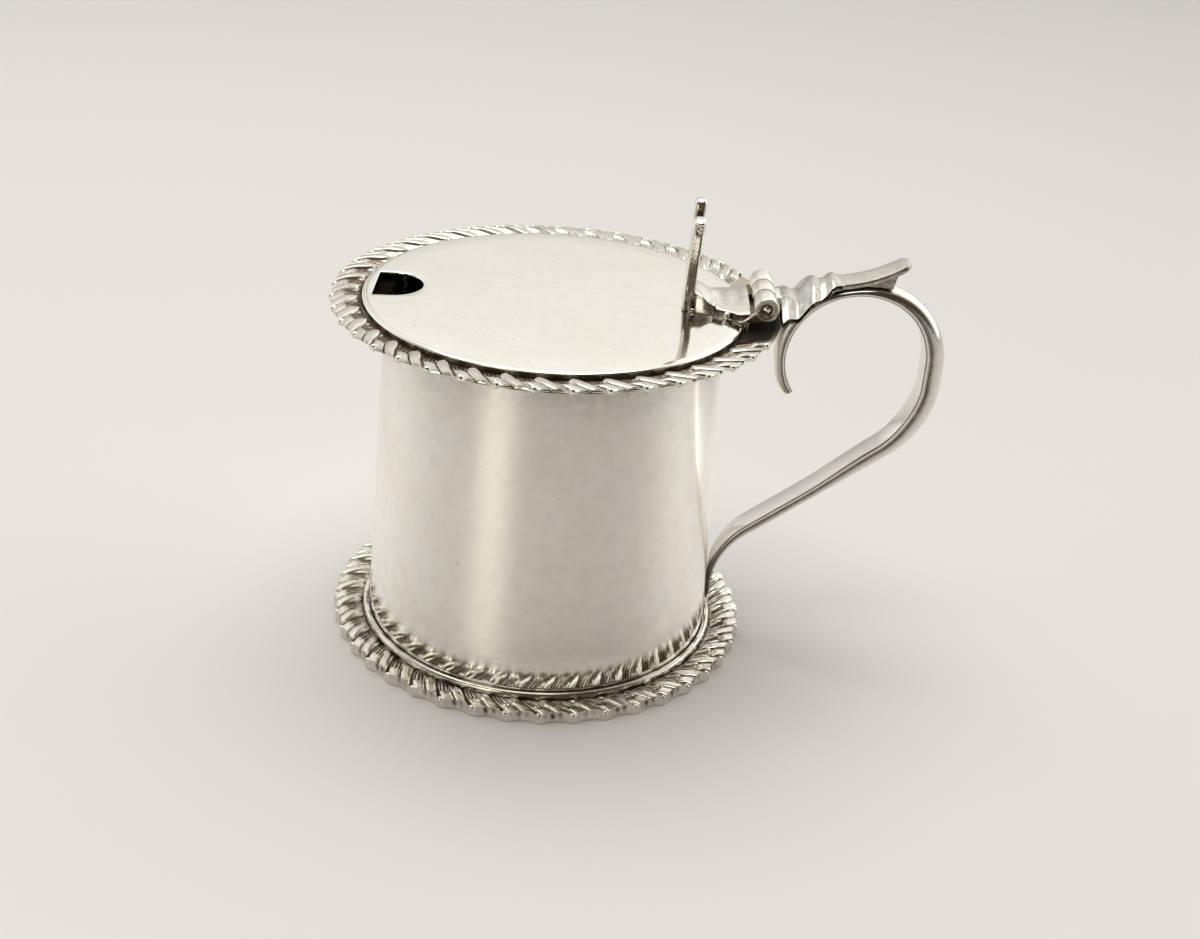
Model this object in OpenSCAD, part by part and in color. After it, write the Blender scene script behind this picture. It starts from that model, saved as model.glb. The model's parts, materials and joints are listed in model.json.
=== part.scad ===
// Drum mustard pot: a tapered silver drum with gadrooned rim and foot borders,
// a flat hinged lid with a spoon slot and a thumbpiece, a scroll handle and a glass liner.
// Millimetres, +Z up. The origin is the centre of the underside, and the handle lies towards +X.

/* [Drum] */
// Height of the drum's top edge above the table
drum_h = 57.5; // [52:0.5:66]
// Outer radius of the drum at its top edge
drum_top_r = 28; // [26:0.5:30]
// How much wider the drum's radius is at the foot
drum_taper = 2; // [0.5:0.25:3]
// Thickness of the drum's silver wall
wall = 0.9; // [0.6:0.1:1.4]

/* [Borders] */
// Width of the rim border, from its inner to its outer edge
rim_border_w = 4.9; // [4.2:0.1:5.2]
// Width of the foot border, from its inner to its outer edge
foot_border_w = 5; // [4:0.1:6]
// Number of swirled lobes in the full circle of the foot border
lobe_count = 41; // [36:1:48]
// Number of those lobes that the rim border leaves out at the hinge
hinge_lobes = 6; // [5:1:7]
// Turn of each lobe between the inner and the outer edge, in degrees
lobe_swirl = 5.5; // [0:0.5:8]

/* [Lid] */
// Height of the lid's side, edge wire and plate together
lid_h = 1.6; // [1.3:0.1:2.2]
// Thickness of the lid's plate
lid_plate_t = 0.5; // [0.4:0.1:0.8]
// Width of the spoon slot
slot_w = 10.5; // [8:0.5:12]
// Length of the spoon slot, towards the middle of the lid
slot_l = 7.8; // [6.5:0.1:9]

/* [Hinge and thumbpiece] */
// Outer radius of the hinge knuckles
knuckle_r = 2; // [1.8:0.05:2.2]
// Radius of the hinge pin
pin_r = 0.9; // [0.7:0.05:1.1]
// Length of the whole hinge, along its axis
hinge_l = 14.2; // [12:0.2:16]
// Height of the thumbpiece above the lid
thumb_h = 16.5; // [14:0.5:17]
// Thickness of the thumbpiece
thumb_t = 1.7; // [1.2:0.1:2.2]

/* [Handle] */
// Inner radius of the finger loop
loop_r = 11.6; // [11:0.1:12.2]
// Width of the handle's strap
strap_w = 5.2; // [4.4:0.1:6]
// Length of the rising spur on top of the handle
spur_l = 10.8; // [8:0.2:11.4]

/* [Liner] */
// Thickness of the glass liner's wall
liner_t = 2; // [1.5:0.1:3]
// Thickness of the glass liner's floor
liner_floor_t = 3; // [2:0.5:5]
// Distance from the liner's lip up to the drum's top edge
liner_drop = 2.6; // [2.4:0.1:6]

/* [Hidden] */
$fn = 96;

silver = "#d9d6cb";
aged_silver = "#b9b3a2";
cobalt_glass = "#1d2f7a";

// Gap at soldered seams between curved faces, and the fits of the lid, liner and hinge
seam = 0.12;
lid_side_gap = 0.4;
bezel_gap = 0.55;
liner_gap = 0.7;
pin_play = 0.05;
knuckle_gap = 0.15;

// How far a cutting solid runs past what it cuts
spare = 1;

// Foot: the base plate stands on the table and carries the drum, its wire and the border
base_t = 1;
foot_wire_w = 1.1;
foot_wire_h = 1.2;
drum_bottom_r = drum_top_r + drum_taper;
base_r = drum_bottom_r + foot_wire_w;
foot_border_r = base_r + seam;
foot_border_h = 2.3;
foot_edge_h = 1.4;

// Rim: a flange on the drum's top edge, with the border overhanging it
flange_t = 0.8;
flange_w = 6;
flange_z = drum_h + flange_t;
mouth_r = drum_top_r - wall;
lid_overlap = 3.6;
lid_r = drum_top_r + lid_overlap;
rim_border_r = lid_r + lid_side_gap;
rim_border_h = 1.3;
rim_inner_h = 0.3;
rim_edge_under = 0.65;
rim_edge_h = 1;

// Gadroon lobes: one wide and one narrow in each repeat, with a scalloped outer edge
lobe_steps = 6;
lobe_share = 0.64;
lobe_h = 0.55;
minor_lobe = 0.45;
lobe_rise = [20, 150];
border_bands = 4;
scallop = 0.35;
lobe_angle = 360 / lobe_count;
rim_lobes = lobe_count - hinge_lobes;
rim_open_angle = hinge_lobes * lobe_angle;

// Lid: an edge wire on the flange, under a thin plate, with a bezel inside the mouth
lid_z = flange_z + lid_h;
edge_wire_w = 1.3;
edge_wire_h = lid_h - lid_plate_t;
bezel_t = 0.6;
bezel_depth = 2.2;
bezel_r = mouth_r - bezel_gap;
window_side = 0.8;
bezel_window_w = slot_w + 2 * window_side;
slot_edge = 2;
slot_x = -(lid_r - slot_edge);

// Hinge: its axis lies along Y, above and outside the lid's edge
hinge_out = 2.4;
hinge_up = 2.4;
hinge_x = lid_r + hinge_out;
hinge_z = lid_z + hinge_up;
knuckle_l = hinge_l / 3;
leaf_gap = 0.6;
web_low = 1.9;
lid_web_high = -0.6;
handle_web_high = 0.7;
web_end = 0.5;
recess_gap = 0.55;
recess_r = pin_r + recess_gap;
recess_depth = 0.45;
pin_end_gap = 0.15;
pin_l = hinge_l - 2 * (pin_r + pin_end_gap);
plate_end_angle = 0.2;

// Thumbpiece: an upright plate on the lid, leaning back, with two rounded ears
thumb_inset = 9.9;
thumb_x = lid_r - thumb_inset;
thumb_base_w = 3.4;
thumb_waist_w = 2.9;
thumb_waist_h = 3.5;
thumb_ear_y = 5.2;
thumb_ear_r = 1.75;
thumb_notch_r = 3.8;
thumb_lean = 2.4;
thumb_lift = 0.06;
thumb_leaf_gap = 0.3;

// Ribbed leaves on both sides of the hinge, widest next to it
leaf_steps = 20;
leaf_across = 8;
leaf_waves = 2.5;
leaf_wave_h = 0.25;
leaf_crown = 0.7;
leaf_wide = hinge_l / 2;
lid_leaf_start = thumb_x + thumb_t / 2 + thumb_leaf_gap;
lid_leaf_end = hinge_x - knuckle_r - leaf_gap;
lid_leaf_narrow = 3.9;
lid_leaf_high = 3;
lid_leaf_low = 2.2;
lid_leaf_flare = 1.3;
handle_leaf_start = hinge_x + knuckle_r + leaf_gap;
handle_leaf_l = 9.6;
handle_leaf_drop = 2.5;
handle_leaf_rise = 1;
handle_leaf_under = hinge_z - handle_leaf_drop;
handle_leaf_top = hinge_z + handle_leaf_rise;
handle_leaf_flare = 1.6;
handle_leaf_thin = 0.6;

// Handle: a finger loop, a drop, a bend, a straight run down to the drum and a tail on its wall
loop_out = 13.6;
loop_down = 9.7;
loop_x = handle_leaf_start + loop_out;
loop_z = hinge_z - loop_down;
hook_angle = 214;
drop_l = 4.2;
bend_r = 14.6;
run_angle = 52;
tail_bend_r = 15;
tail_clear = 2.6;
tail_end_z = base_t + foot_wire_h + tail_clear;
loop_steps = 34;
bend_steps = 8;
tail_steps = 10;
strap_sides = 10;

// Depth of the strap: thick under the leaf and at the back, thin under the spur and at both ends
hook_t = 1.1;
hook_root_t = 1.6;
leaf_strap_t = 2.5;
crown_t = 1.4;
shoulder_t = 1.8;
side_t = 2.4;
back_t = 3.1;
run_t = 2.3;
tail_t = 0.9;
hook_w = 2.6;
tail_w = 3.12;
tail_tip = 0.8;

// Angles round the finger loop, from its back over the top to the hook
side_angle = 50;
shoulder_angle = 75;
crown_angles = [90, 110];
leaf_angles = [128, 158];
hook_narrow_angle = 160;
hook_root_angle = 185;
loop_depth = [
    [0, back_t], [side_angle, side_t], [shoulder_angle, shoulder_t],
    [crown_angles[0], crown_t], [crown_angles[1], crown_t],
    [leaf_angles[0], leaf_strap_t], [leaf_angles[1], leaf_strap_t],
    [hook_root_angle, hook_root_t], [hook_angle, hook_t]
];
loop_width = [[0, strap_w], [hook_narrow_angle, strap_w], [hook_angle, hook_w]];

// Spur: a flat tongue that goes on from the leaf and curves up clear of the strap
spur_t = 0.85;
spur_bend_r = 30;
spur_start_angle = 8;
spur_corner_r = 1.9;
spur_spare_angle = 2;
spur_cut_low = 5;
spur_cut_h = 20;

// One closed solid through a list of rings that have the same number of points
module loft(rings, closed = false) {
    count = len(rings);
    size = len(rings[0]);
    last = (count - 1) * size;
    sides = [
        for (i = [0 : count - (closed ? 1 : 2)], k = [0 : size - 1])
            let (here = i * size, next = ((i + 1) % count) * size, after = (k + 1) % size)
                each [[here + k, here + after, next + after], [here + k, next + after, next + k]]
    ];
    caps = closed ? [] : [for (k = [1 : size - 2]) each [[0, k + 1, k], [last, last + k, last + k + 1]]];
    polyhedron([for (ring = rings) each ring], concat(sides, caps), convexity = 8);
}

// Height of the wide or the narrow lobe at a share of one repeat
function lobe(share) = share < lobe_share
    ? sin(180 * share / lobe_share)
    : minor_lobe * sin(180 * (share - lobe_share) / (1 - lobe_share));

// Height of a border's top between its inner edge (0) and its outer edge (1)
function border_top(across, inner_h, crest_h, edge_h, bump) =
    let (base = inner_h + (edge_h - inner_h) * across)
        base + (crest_h - lobe_h - base) * sin(180 * across)
            + lobe_h * bump * sin(lobe_rise[0] + (lobe_rise[1] - lobe_rise[0]) * across);

// One ring of a border: its underside first, then its top from the outer to the inner edge
function border_ring(step, r, width, edge_under, inner_h, crest_h, edge_h) =
    let (
        bump = lobe((step % lobe_steps) / lobe_steps),
        span = width - scallop * (1 - bump),
        top = [
            for (band = [border_bands : -1 : 0])
                let (across = band / border_bands)
                    [across, border_top(across, inner_h, crest_h, edge_h, bump)]
        ]
    )
    [
        for (p = concat([[0, 0], [1, edge_under]], top))
            let (turn = lobe_angle * step / lobe_steps + lobe_swirl * p[0], reach = r + span * p[0])
                [reach * cos(turn), reach * sin(turn), p[1]]
    ];

// Disc that stands on the table and closes the drum
module base_plate() {
    color(aged_silver) cylinder(r = base_r, h = base_t);
}

// Gadrooned border round the base plate, level with its underside
module foot_border() {
    rings = [
        for (step = [0 : lobe_count * lobe_steps - 1])
            border_ring(step, foot_border_r, foot_border_w, 0, base_t, foot_border_h, foot_edge_h)
    ];
    color(aged_silver) loft(rings, closed = true);
}

// Half-round wire in the corner between drum and base plate
module foot_wire() {
    round_r = foot_wire_h / 2;
    inner_r = drum_bottom_r + seam;
    color(silver) translate([0, 0, base_t]) rotate_extrude() intersection() {
        union() {
            translate([inner_r, 0]) square([base_r - round_r - inner_r, foot_wire_h]);
            translate([base_r - round_r, round_r]) circle(r = round_r);
        }
        translate([inner_r, 0]) square([foot_wire_w, foot_wire_h]);
    }
}

// Tapered drum, open at the top and seated on the base plate
module drum_wall() {
    profile = [
        [drum_bottom_r - wall, base_t],
        [drum_bottom_r, base_t],
        [drum_top_r, drum_h],
        [mouth_r, drum_h]
    ];
    color(silver) rotate_extrude() polygon(profile);
}

// Flat ring on the drum's top edge that carries the border and the lid
module rim_flange() {
    color(aged_silver) translate([0, 0, drum_h]) difference() {
        cylinder(r = drum_top_r + flange_w, h = flange_t);
        translate([0, 0, -spare]) cylinder(r = mouth_r, h = flange_t + 2 * spare);
    }
}

// Gadrooned border on the flange, left open at the hinge
module rim_border() {
    rings = [
        for (step = [0 : rim_lobes * lobe_steps])
            border_ring(step, rim_border_r, rim_border_w, rim_edge_under,
                rim_inner_h, rim_border_h, rim_edge_h)
    ];
    color(aged_silver) translate([0, 0, flange_z]) rotate((rim_open_angle - lobe_swirl) / 2) loft(rings);
}

// Plain plate that fills the gap in the border, under the hinge, out to the handle's strap
module hinge_plate() {
    angle = rim_open_angle - lobe_swirl - 2 * plate_end_angle;
    strap_reach = sqrt(pow(loop_r + leaf_strap_t, 2) - pow(flange_z - loop_z, 2));
    width = loop_x - strap_reach - seam - rim_border_r;
    color(aged_silver) translate([0, 0, flange_z]) rotate(-angle / 2)
        rotate_extrude(angle = angle) translate([rim_border_r, 0]) square([width, rim_edge_under]);
}

// Removable glass cup that stands inside the drum
module glass_liner() {
    liner_r = mouth_r - liner_gap;
    liner_h = drum_h - liner_drop - base_t;
    lip_r = liner_t / 2;
    color(cobalt_glass) translate([0, 0, base_t]) rotate_extrude() {
        square([liner_r, liner_floor_t]);
        translate([liner_r - liner_t, 0]) square([liner_t, liner_h - lip_r]);
        translate([liner_r - lip_r, liner_h - lip_r]) circle(r = lip_r);
    }
}

// Stations of the strap's inner face: x, z, heading, depth and width, from the hook to the tail
wall_angle = atan(drum_taper / (drum_h - base_t));
run_heading = -90 - run_angle;
tail_heading = -90 + wall_angle;
bend_x = loop_x + loop_r - bend_r;
bend_z = loop_z - drop_l;

function ahead(heading) = [cos(heading), sin(heading)];
function outward(heading) = [-sin(heading), cos(heading)];

// The run and the wall's line both touch the tail's bend, which gives the bend's centre
run_start = [bend_x, bend_z] + bend_r * outward(run_heading);
wall_foot = [drum_bottom_r + base_t * tan(wall_angle) + seam, 0];
run_to_wall = wall_foot - run_start + tail_bend_r * (outward(tail_heading) - outward(run_heading));
run_l = cross(run_to_wall, ahead(tail_heading)) / cross(ahead(run_heading), ahead(tail_heading));
tail_centre = run_start + run_l * ahead(run_heading) + tail_bend_r * outward(run_heading);
tail_end = wall_foot + tail_end_z / sin(tail_heading) * ahead(tail_heading);

strap_stations = concat(
    [
        for (i = [0 : loop_steps])
            let (angle = hook_angle * (1 - i / loop_steps), place = loop_r * ahead(angle))
                [loop_x + place[0], loop_z + place[1], angle - 90,
                    lookup(angle, loop_depth), lookup(angle, loop_width)]
    ],
    [
        for (i = [0 : bend_steps])
            let (share = i / bend_steps, place = bend_r * ahead(-run_angle * share))
                [bend_x + place[0], bend_z + place[1], -90 - run_angle * share,
                    back_t + (run_t - back_t) * share, strap_w]
    ],
    [
        for (i = [0 : tail_steps])
            let (
                share = i / tail_steps,
                heading = run_heading + (tail_heading - run_heading) * share,
                place = tail_centre - tail_bend_r * outward(heading)
            )
                [place[0], place[1], heading, run_t + (tail_t - run_t) * share,
                    strap_w + (tail_w - strap_w) * share * share]
    ],
    [[tail_end[0], tail_end[1], tail_heading, tail_t * tail_tip, tail_w * tail_tip]]
);

// Ring of the strap's section: flat towards the finger, rounded outwards
function strap_ring(station) = [
    for (i = [0 : strap_sides])
        let (
            angle = 180 * i / strap_sides,
            out = station[3] * sin(angle) * outward(station[2])
        )
            [station[0] + out[0], -station[4] / 2 * cos(angle), station[1] + out[1]]
];

// Scroll handle: finger loop with a hooked end, and a tail soldered down the drum
module handle_strap() {
    color(silver) loft([for (station = strap_stations) strap_ring(station)]);
}

// Ring of a ribbed leaf: its underside first, then its top, crowned across
function leaf_ring(x, half_w, under, top) = concat(
    [[x, half_w, under], [x, -half_w, under]],
    [
        for (i = [0 : leaf_across])
            let (side = 2 * i / leaf_across - 1)
                [x, half_w * side, top - leaf_crown * side * side]
    ]
);

function leaf_wave(share) = leaf_wave_h * sin(360 * leaf_waves * share);

// Underside of the handle's leaf at a share of its length: level, then riding on the strap
function strap_top(x, share) =
    let (reach = loop_r + seam + lookup(share, [[handle_leaf_thin, leaf_strap_t], [1, crown_t]]))
        loop_z + sqrt(max(0, reach * reach - (x - loop_x) * (x - loop_x)));
spur_start_x = handle_leaf_start + handle_leaf_l;
spur_start_z = strap_top(spur_start_x, 1);

// Ribbed leaf on the handle, from the hinge to the spur
module handle_leaf() {
    rings = [
        for (i = [0 : leaf_steps])
            let (
                share = i / leaf_steps,
                x = handle_leaf_start + handle_leaf_l * share,
                under = max(handle_leaf_under, strap_top(x, share)),
                level = handle_leaf_top + (spur_start_z + spur_t + leaf_crown - handle_leaf_top) * share
            )
                leaf_ring(x, leaf_wide + (strap_w / 2 - leaf_wide) * pow(share, handle_leaf_flare), under,
                    max(level + leaf_wave(share), under + spur_t + leaf_crown))
    ];
    color(silver) loft(rings);
}

// Flat tongue above the strap, where the thumb rests
module handle_spur() {
    end_angle = asin(sin(spur_start_angle) + spur_l / spur_bend_r);
    centre_x = spur_start_x - spur_bend_r * sin(spur_start_angle);
    centre_z = spur_start_z + spur_bend_r * cos(spur_start_angle);
    straight = spur_l - spur_corner_r;
    color(silver) intersection() {
        translate([centre_x, 0, centre_z]) rotate([-90, 0, 0]) rotate(90 - end_angle - spur_spare_angle)
            rotate_extrude(angle = end_angle - spur_start_angle + 2 * spur_spare_angle)
                translate([spur_bend_r - spur_t, -strap_w / 2]) square([spur_t, strap_w]);
        translate([spur_start_x, 0, spur_start_z - spur_cut_low]) linear_extrude(spur_cut_h) {
            translate([0, -strap_w / 2]) square([straight, strap_w]);
            translate([0, spur_corner_r - strap_w / 2]) square([spur_l, strap_w - 2 * spur_corner_r]);
            for (side = [-1, 1])
                translate([straight, side * (strap_w / 2 - spur_corner_r)]) circle(r = spur_corner_r);
        }
    }
}

// Bar along Y between two Y values, at the hinge's axis
module hinge_bar(r, y_from, y_to) {
    translate([hinge_x, y_from, hinge_z]) rotate([-90, 0, 0]) cylinder(r = r, h = y_to - y_from);
}

// Hinge pin with domed ends, fast in the handle's knuckle
module hinge_pin() {
    color(aged_silver) {
        hinge_bar(pin_r, -pin_l / 2, pin_l / 2);
        for (side = [-1, 1])
            translate([hinge_x, side * pin_l / 2, hinge_z]) sphere(r = pin_r);
    }
}

// Middle knuckle, joined to the end of the handle's leaf
module handle_knuckle() {
    half_l = (knuckle_l - knuckle_gap) / 2;
    color(silver) difference() {
        union() {
            hinge_bar(knuckle_r, -half_l, half_l);
            translate([hinge_x, -half_l, hinge_z - web_low])
                cube([handle_leaf_start - hinge_x, 2 * half_l, web_low + handle_web_high]);
        }
        hinge_bar(pin_r, -half_l - spare, half_l + spare);
    }
}

// Outer knuckle of the lid, with a recess round the pin's end; side is -1 for near, 1 for far
module lid_knuckle(side) {
    inner_y = (knuckle_l + knuckle_gap) / 2;
    outer_y = hinge_l / 2;
    color(silver) mirror([0, side < 0 ? 1 : 0, 0]) difference() {
        union() {
            hinge_bar(knuckle_r, inner_y, outer_y);
            translate([lid_leaf_end, inner_y, hinge_z - web_low])
                cube([hinge_x - lid_leaf_end, outer_y - inner_y - web_end, web_low + lid_web_high]);
        }
        hinge_bar(pin_r + pin_play, inner_y - spare, outer_y + spare);
        hinge_bar(recess_r, outer_y - recess_depth, outer_y + spare);
    }
}

module lid_knuckle_near() {
    lid_knuckle(-1);
}

module lid_knuckle_far() {
    lid_knuckle(1);
}

// Flat lid with the spoon slot, straight at the edge and round towards the middle
module lid_plate() {
    slot_r = slot_w / 2;
    color(silver) translate([0, 0, lid_z - lid_plate_t]) difference() {
        cylinder(r = lid_r, h = lid_plate_t);
        translate([slot_x, 0, -spare]) linear_extrude(lid_plate_t + 2 * spare) {
            translate([0, -slot_r]) square([slot_l - slot_r, slot_w]);
            intersection() {
                translate([slot_l - slot_r, 0]) circle(r = slot_r);
                translate([0, -slot_r]) square([slot_l, slot_w]);
            }
        }
    }
}

// Wire under the plate's edge, which rests on the flange
module lid_edge_wire() {
    color(aged_silver) translate([0, 0, flange_z]) difference() {
        cylinder(r = lid_r, h = edge_wire_h);
        translate([0, 0, -spare]) cylinder(r = lid_r - edge_wire_w, h = edge_wire_h + 2 * spare);
    }
}

// Collar under the lid that drops into the mouth, open below the spoon slot
module lid_bezel() {
    height = bezel_depth + edge_wire_h;
    color(aged_silver) translate([0, 0, flange_z - bezel_depth]) difference() {
        cylinder(r = bezel_r, h = height);
        translate([0, 0, -spare]) cylinder(r = bezel_r - bezel_t, h = height + 2 * spare);
        translate([-2 * bezel_r, -bezel_window_w / 2, -spare])
            cube([2 * bezel_r, bezel_window_w, height + 2 * spare]);
    }
}

// Ribbed leaf on the lid, from the thumbpiece to the hinge
module lid_leaf() {
    length = lid_leaf_end - lid_leaf_start;
    rings = [
        for (i = [0 : leaf_steps])
            let (share = i / leaf_steps)
                leaf_ring(lid_leaf_start + length * share,
                    lid_leaf_narrow + (leaf_wide - lid_leaf_narrow) * pow(share, lid_leaf_flare), lid_z,
                    lid_z + lid_leaf_high + (lid_leaf_low - lid_leaf_high) * share + leaf_wave(share))
    ];
    color(silver) loft(rings);
}

// Upright plate that the thumb presses back to open the lid
module thumbpiece() {
    ear_z = thumb_h - thumb_ear_r;
    ear_side = thumb_ear_y + thumb_ear_r;
    half = [[thumb_base_w, 0], [thumb_waist_w, thumb_waist_h], [ear_side, ear_z]];
    outline = concat(half, [for (i = [2 : -1 : 0]) [-half[i][0], half[i][1]]]);
    color(silver) translate([thumb_x, 0, lid_z + thumb_lift]) rotate([0, thumb_lean, 0])
        rotate([90, 0, 90]) linear_extrude(thumb_t, center = true) difference() {
            union() {
                polygon(outline);
                for (side = [-1, 1])
                    translate([side * thumb_ear_y, ear_z]) circle(r = thumb_ear_r);
            }
            translate([0, ear_z]) circle(r = thumb_notch_r);
        }
}

base_plate();
foot_border();
foot_wire();
drum_wall();
rim_flange();
rim_border();
hinge_plate();
glass_liner();
handle_strap();
handle_leaf();
handle_spur();
handle_knuckle();
hinge_pin();
lid_plate();
lid_edge_wire();
lid_bezel();
lid_leaf();
thumbpiece();
lid_knuckle_near();
lid_knuckle_far();
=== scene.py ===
import json
from math import acos, asin, atan, ceil, cos, degrees, pi, radians, sin, sqrt, tan

import bmesh
import bpy
import numpy as np
from mathutils import Matrix, Vector
from mathutils.geometry import delaunay_2d_cdt

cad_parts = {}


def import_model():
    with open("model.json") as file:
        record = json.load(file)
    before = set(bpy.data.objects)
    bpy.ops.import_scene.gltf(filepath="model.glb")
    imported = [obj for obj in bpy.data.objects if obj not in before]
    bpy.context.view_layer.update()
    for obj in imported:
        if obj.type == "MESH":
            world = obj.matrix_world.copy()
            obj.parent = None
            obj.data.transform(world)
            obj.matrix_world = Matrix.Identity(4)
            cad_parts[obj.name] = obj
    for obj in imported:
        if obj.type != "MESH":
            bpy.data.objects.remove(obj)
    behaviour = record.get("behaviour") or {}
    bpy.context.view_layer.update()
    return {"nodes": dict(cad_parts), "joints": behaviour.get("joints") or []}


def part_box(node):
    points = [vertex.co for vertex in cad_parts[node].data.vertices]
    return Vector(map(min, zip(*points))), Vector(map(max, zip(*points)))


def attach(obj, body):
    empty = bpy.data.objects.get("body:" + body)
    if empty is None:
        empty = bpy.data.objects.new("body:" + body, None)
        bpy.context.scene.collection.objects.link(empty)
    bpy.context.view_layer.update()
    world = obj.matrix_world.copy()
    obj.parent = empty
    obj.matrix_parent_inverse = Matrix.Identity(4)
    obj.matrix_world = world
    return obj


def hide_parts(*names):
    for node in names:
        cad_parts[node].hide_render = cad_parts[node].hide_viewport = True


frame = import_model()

# Lengths are in millimetres and angles in degrees. Meshes are made in metres, in the same frame as the CAD.
MM = 0.001


def extent(node):
    """The lowest and highest corner of a CAD node, in millimetres."""
    low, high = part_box(node)
    return np.array(low) / MM, np.array(high) / MM


# Driving values, read from the CAD's boxes and joint
BASE_R, _, BASE_TOP = extent("base_plate")[1]
DRUM_BOTTOM_R, _, DRUM_TOP = extent("drum_wall")[1]
DRUM_TAPER = 2.0
DRUM_TOP_R = DRUM_BOTTOM_R - DRUM_TAPER
DRUM_WALL = 0.9
SEAM = 0.12
WIRE_TOP = extent("foot_wire")[1][2]
FOOT_R, _, FOOT_TOP = extent("foot_border")[1]
FLANGE_TOP = extent("rim_flange")[1][2]
RIM_R = -extent("rim_border")[0][0]
PLATE_R, _, PLATE_TOP = extent("hinge_plate")[1]
LID_LOW = extent("lid_plate")[0][2]
_, LID_R, LID_TOP = extent("lid_plate")[1]
RIM_INNER_R = LID_R + 0.4
HINGE_X = frame["joints"][0]["pos_m"][0] / MM
HINGE_Z = frame["joints"][0]["pos_m"][2] / MM
HINGE_HALF = extent("lid_knuckle_far")[1][1]
KNUCKLE_R = extent("handle_knuckle")[1][2] - HINGE_Z
KNUCKLE_START = extent("lid_knuckle_far")[0][1]
MIDDLE_HALF = extent("handle_knuckle")[1][1]
PIN_R = extent("hinge_pin")[1][2] - HINGE_Z
PIN_HALF = extent("hinge_pin")[1][1]
STRAP_W = 2 * extent("handle_strap")[1][1]
LINER_R, _, LINER_TOP = extent("glass_liner")[1]
LID_LEAF_START = extent("lid_leaf")[0][0]
LID_LEAF_END = extent("lid_leaf")[1][0]
HANDLE_LEAF_START = extent("handle_leaf")[0][0]
HANDLE_LEAF_END = extent("handle_leaf")[1][0]
BORE_R = PIN_R + 0.05

# Mesh: steps round a turned piece, steps round the hinge, and the angle from which an edge is sharp
STEPS = 288
HINGE_STEPS = 72
CREASE = 38

# Gadroon: one wide and one narrow lobe in each repeat
REPEATS = 41
REPEAT_ANGLE = 360 / REPEATS
RIM_REPEATS = 35.4
RIM_END_ANGLE = -18.7
FOOT_PHASE = -86.5
SWIRL = 5.8

# Across one repeat, as shares of it: its lobes, the reeds between them and the fine grooves
WIDE_AT = 0.715
WIDE_HALF = 0.24
SMALL_AT = 0.245
SMALL_HALF = 0.205
REED_PITCH = 0.125
THIN_AT = 0.463
VEIN_AT = 0.69

# The foot's lobes are pointed leaves, the rim's have round noses. Their dark settings for the cove, the reeds
# and the outer face are painted shade, with tarnish in the grooves
FOOT_STYLE = {
    "pointed": True, "groove": 0.3, "scallop": 0.62, "bead_r": 0.54, "curl": 0.1, "reed_depth": 0.14,
    "reed_dark": 0.55, "reed_light": 0.5, "cove_dark": 0.55, "dark_patches": 1.0, "film": 0.04,
}
RIM_STYLE = {
    "pointed": False, "groove": 0.2, "scallop": 0.34, "bead_r": 0.6, "curl": 0.7, "reed_depth": 0.09,
    "reed_dark": 0.84, "reed_light": 0.24, "cove_dark": 0.9, "dark_patches": 0.9, "film": 0.28,
}


# ---- shapes

def smooth(value):
    """A soft step from 0 to 1."""
    share = np.clip(value, 0, 1)
    return share * share * (3 - 2 * share)


def step(value, start, width):
    """A soft step that begins at start."""
    return smooth((value - start) / width)


def bell(value, centre, width):
    """A soft bump round a centre."""
    return np.exp(-((value - centre) / width) ** 2)


def around(count):
    """Even angles round a circle, in radians."""
    return np.linspace(0, 2 * pi, count, endpoint=False)


def spline(knots, start=0.0, level=0.0):
    """A smooth function through (place, value) knots, which are written from a start and a level."""
    places, values = (np.array(knots, float) + [start, level]).T
    slopes = np.gradient(values, places)

    def curve(x):
        i = np.clip(np.searchsorted(places, x) - 1, 0, len(places) - 2)
        gap = places[i + 1] - places[i]
        t = np.clip((x - places[i]) / gap, 0, 1)
        near = values[i] * (1 + 2 * t) * (1 - t) ** 2 + slopes[i] * gap * t * (1 - t) ** 2
        far = values[i + 1] * t * t * (3 - 2 * t) + slopes[i + 1] * gap * t * t * (t - 1)
        return near + far

    return curve


def ahead(heading):
    """Unit step in a heading, as (x, z)."""
    return np.array([cos(radians(heading)), sin(radians(heading))])


def outward(heading):
    """Unit step to the left of a heading, as (x, z)."""
    return ahead(heading + 90)


def unit(ways):
    return ways / np.linalg.norm(ways, axis=-1, keepdims=True)


def inset(outline, amount):
    """A closed anticlockwise outline moved inward along its normals."""
    way = unit(np.roll(outline, -1, axis=0) - outline)
    tangent = unit(way + np.roll(way, 1, axis=0))
    return outline + amount * np.column_stack([-tangent[:, 1], tangent[:, 0]])


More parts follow.
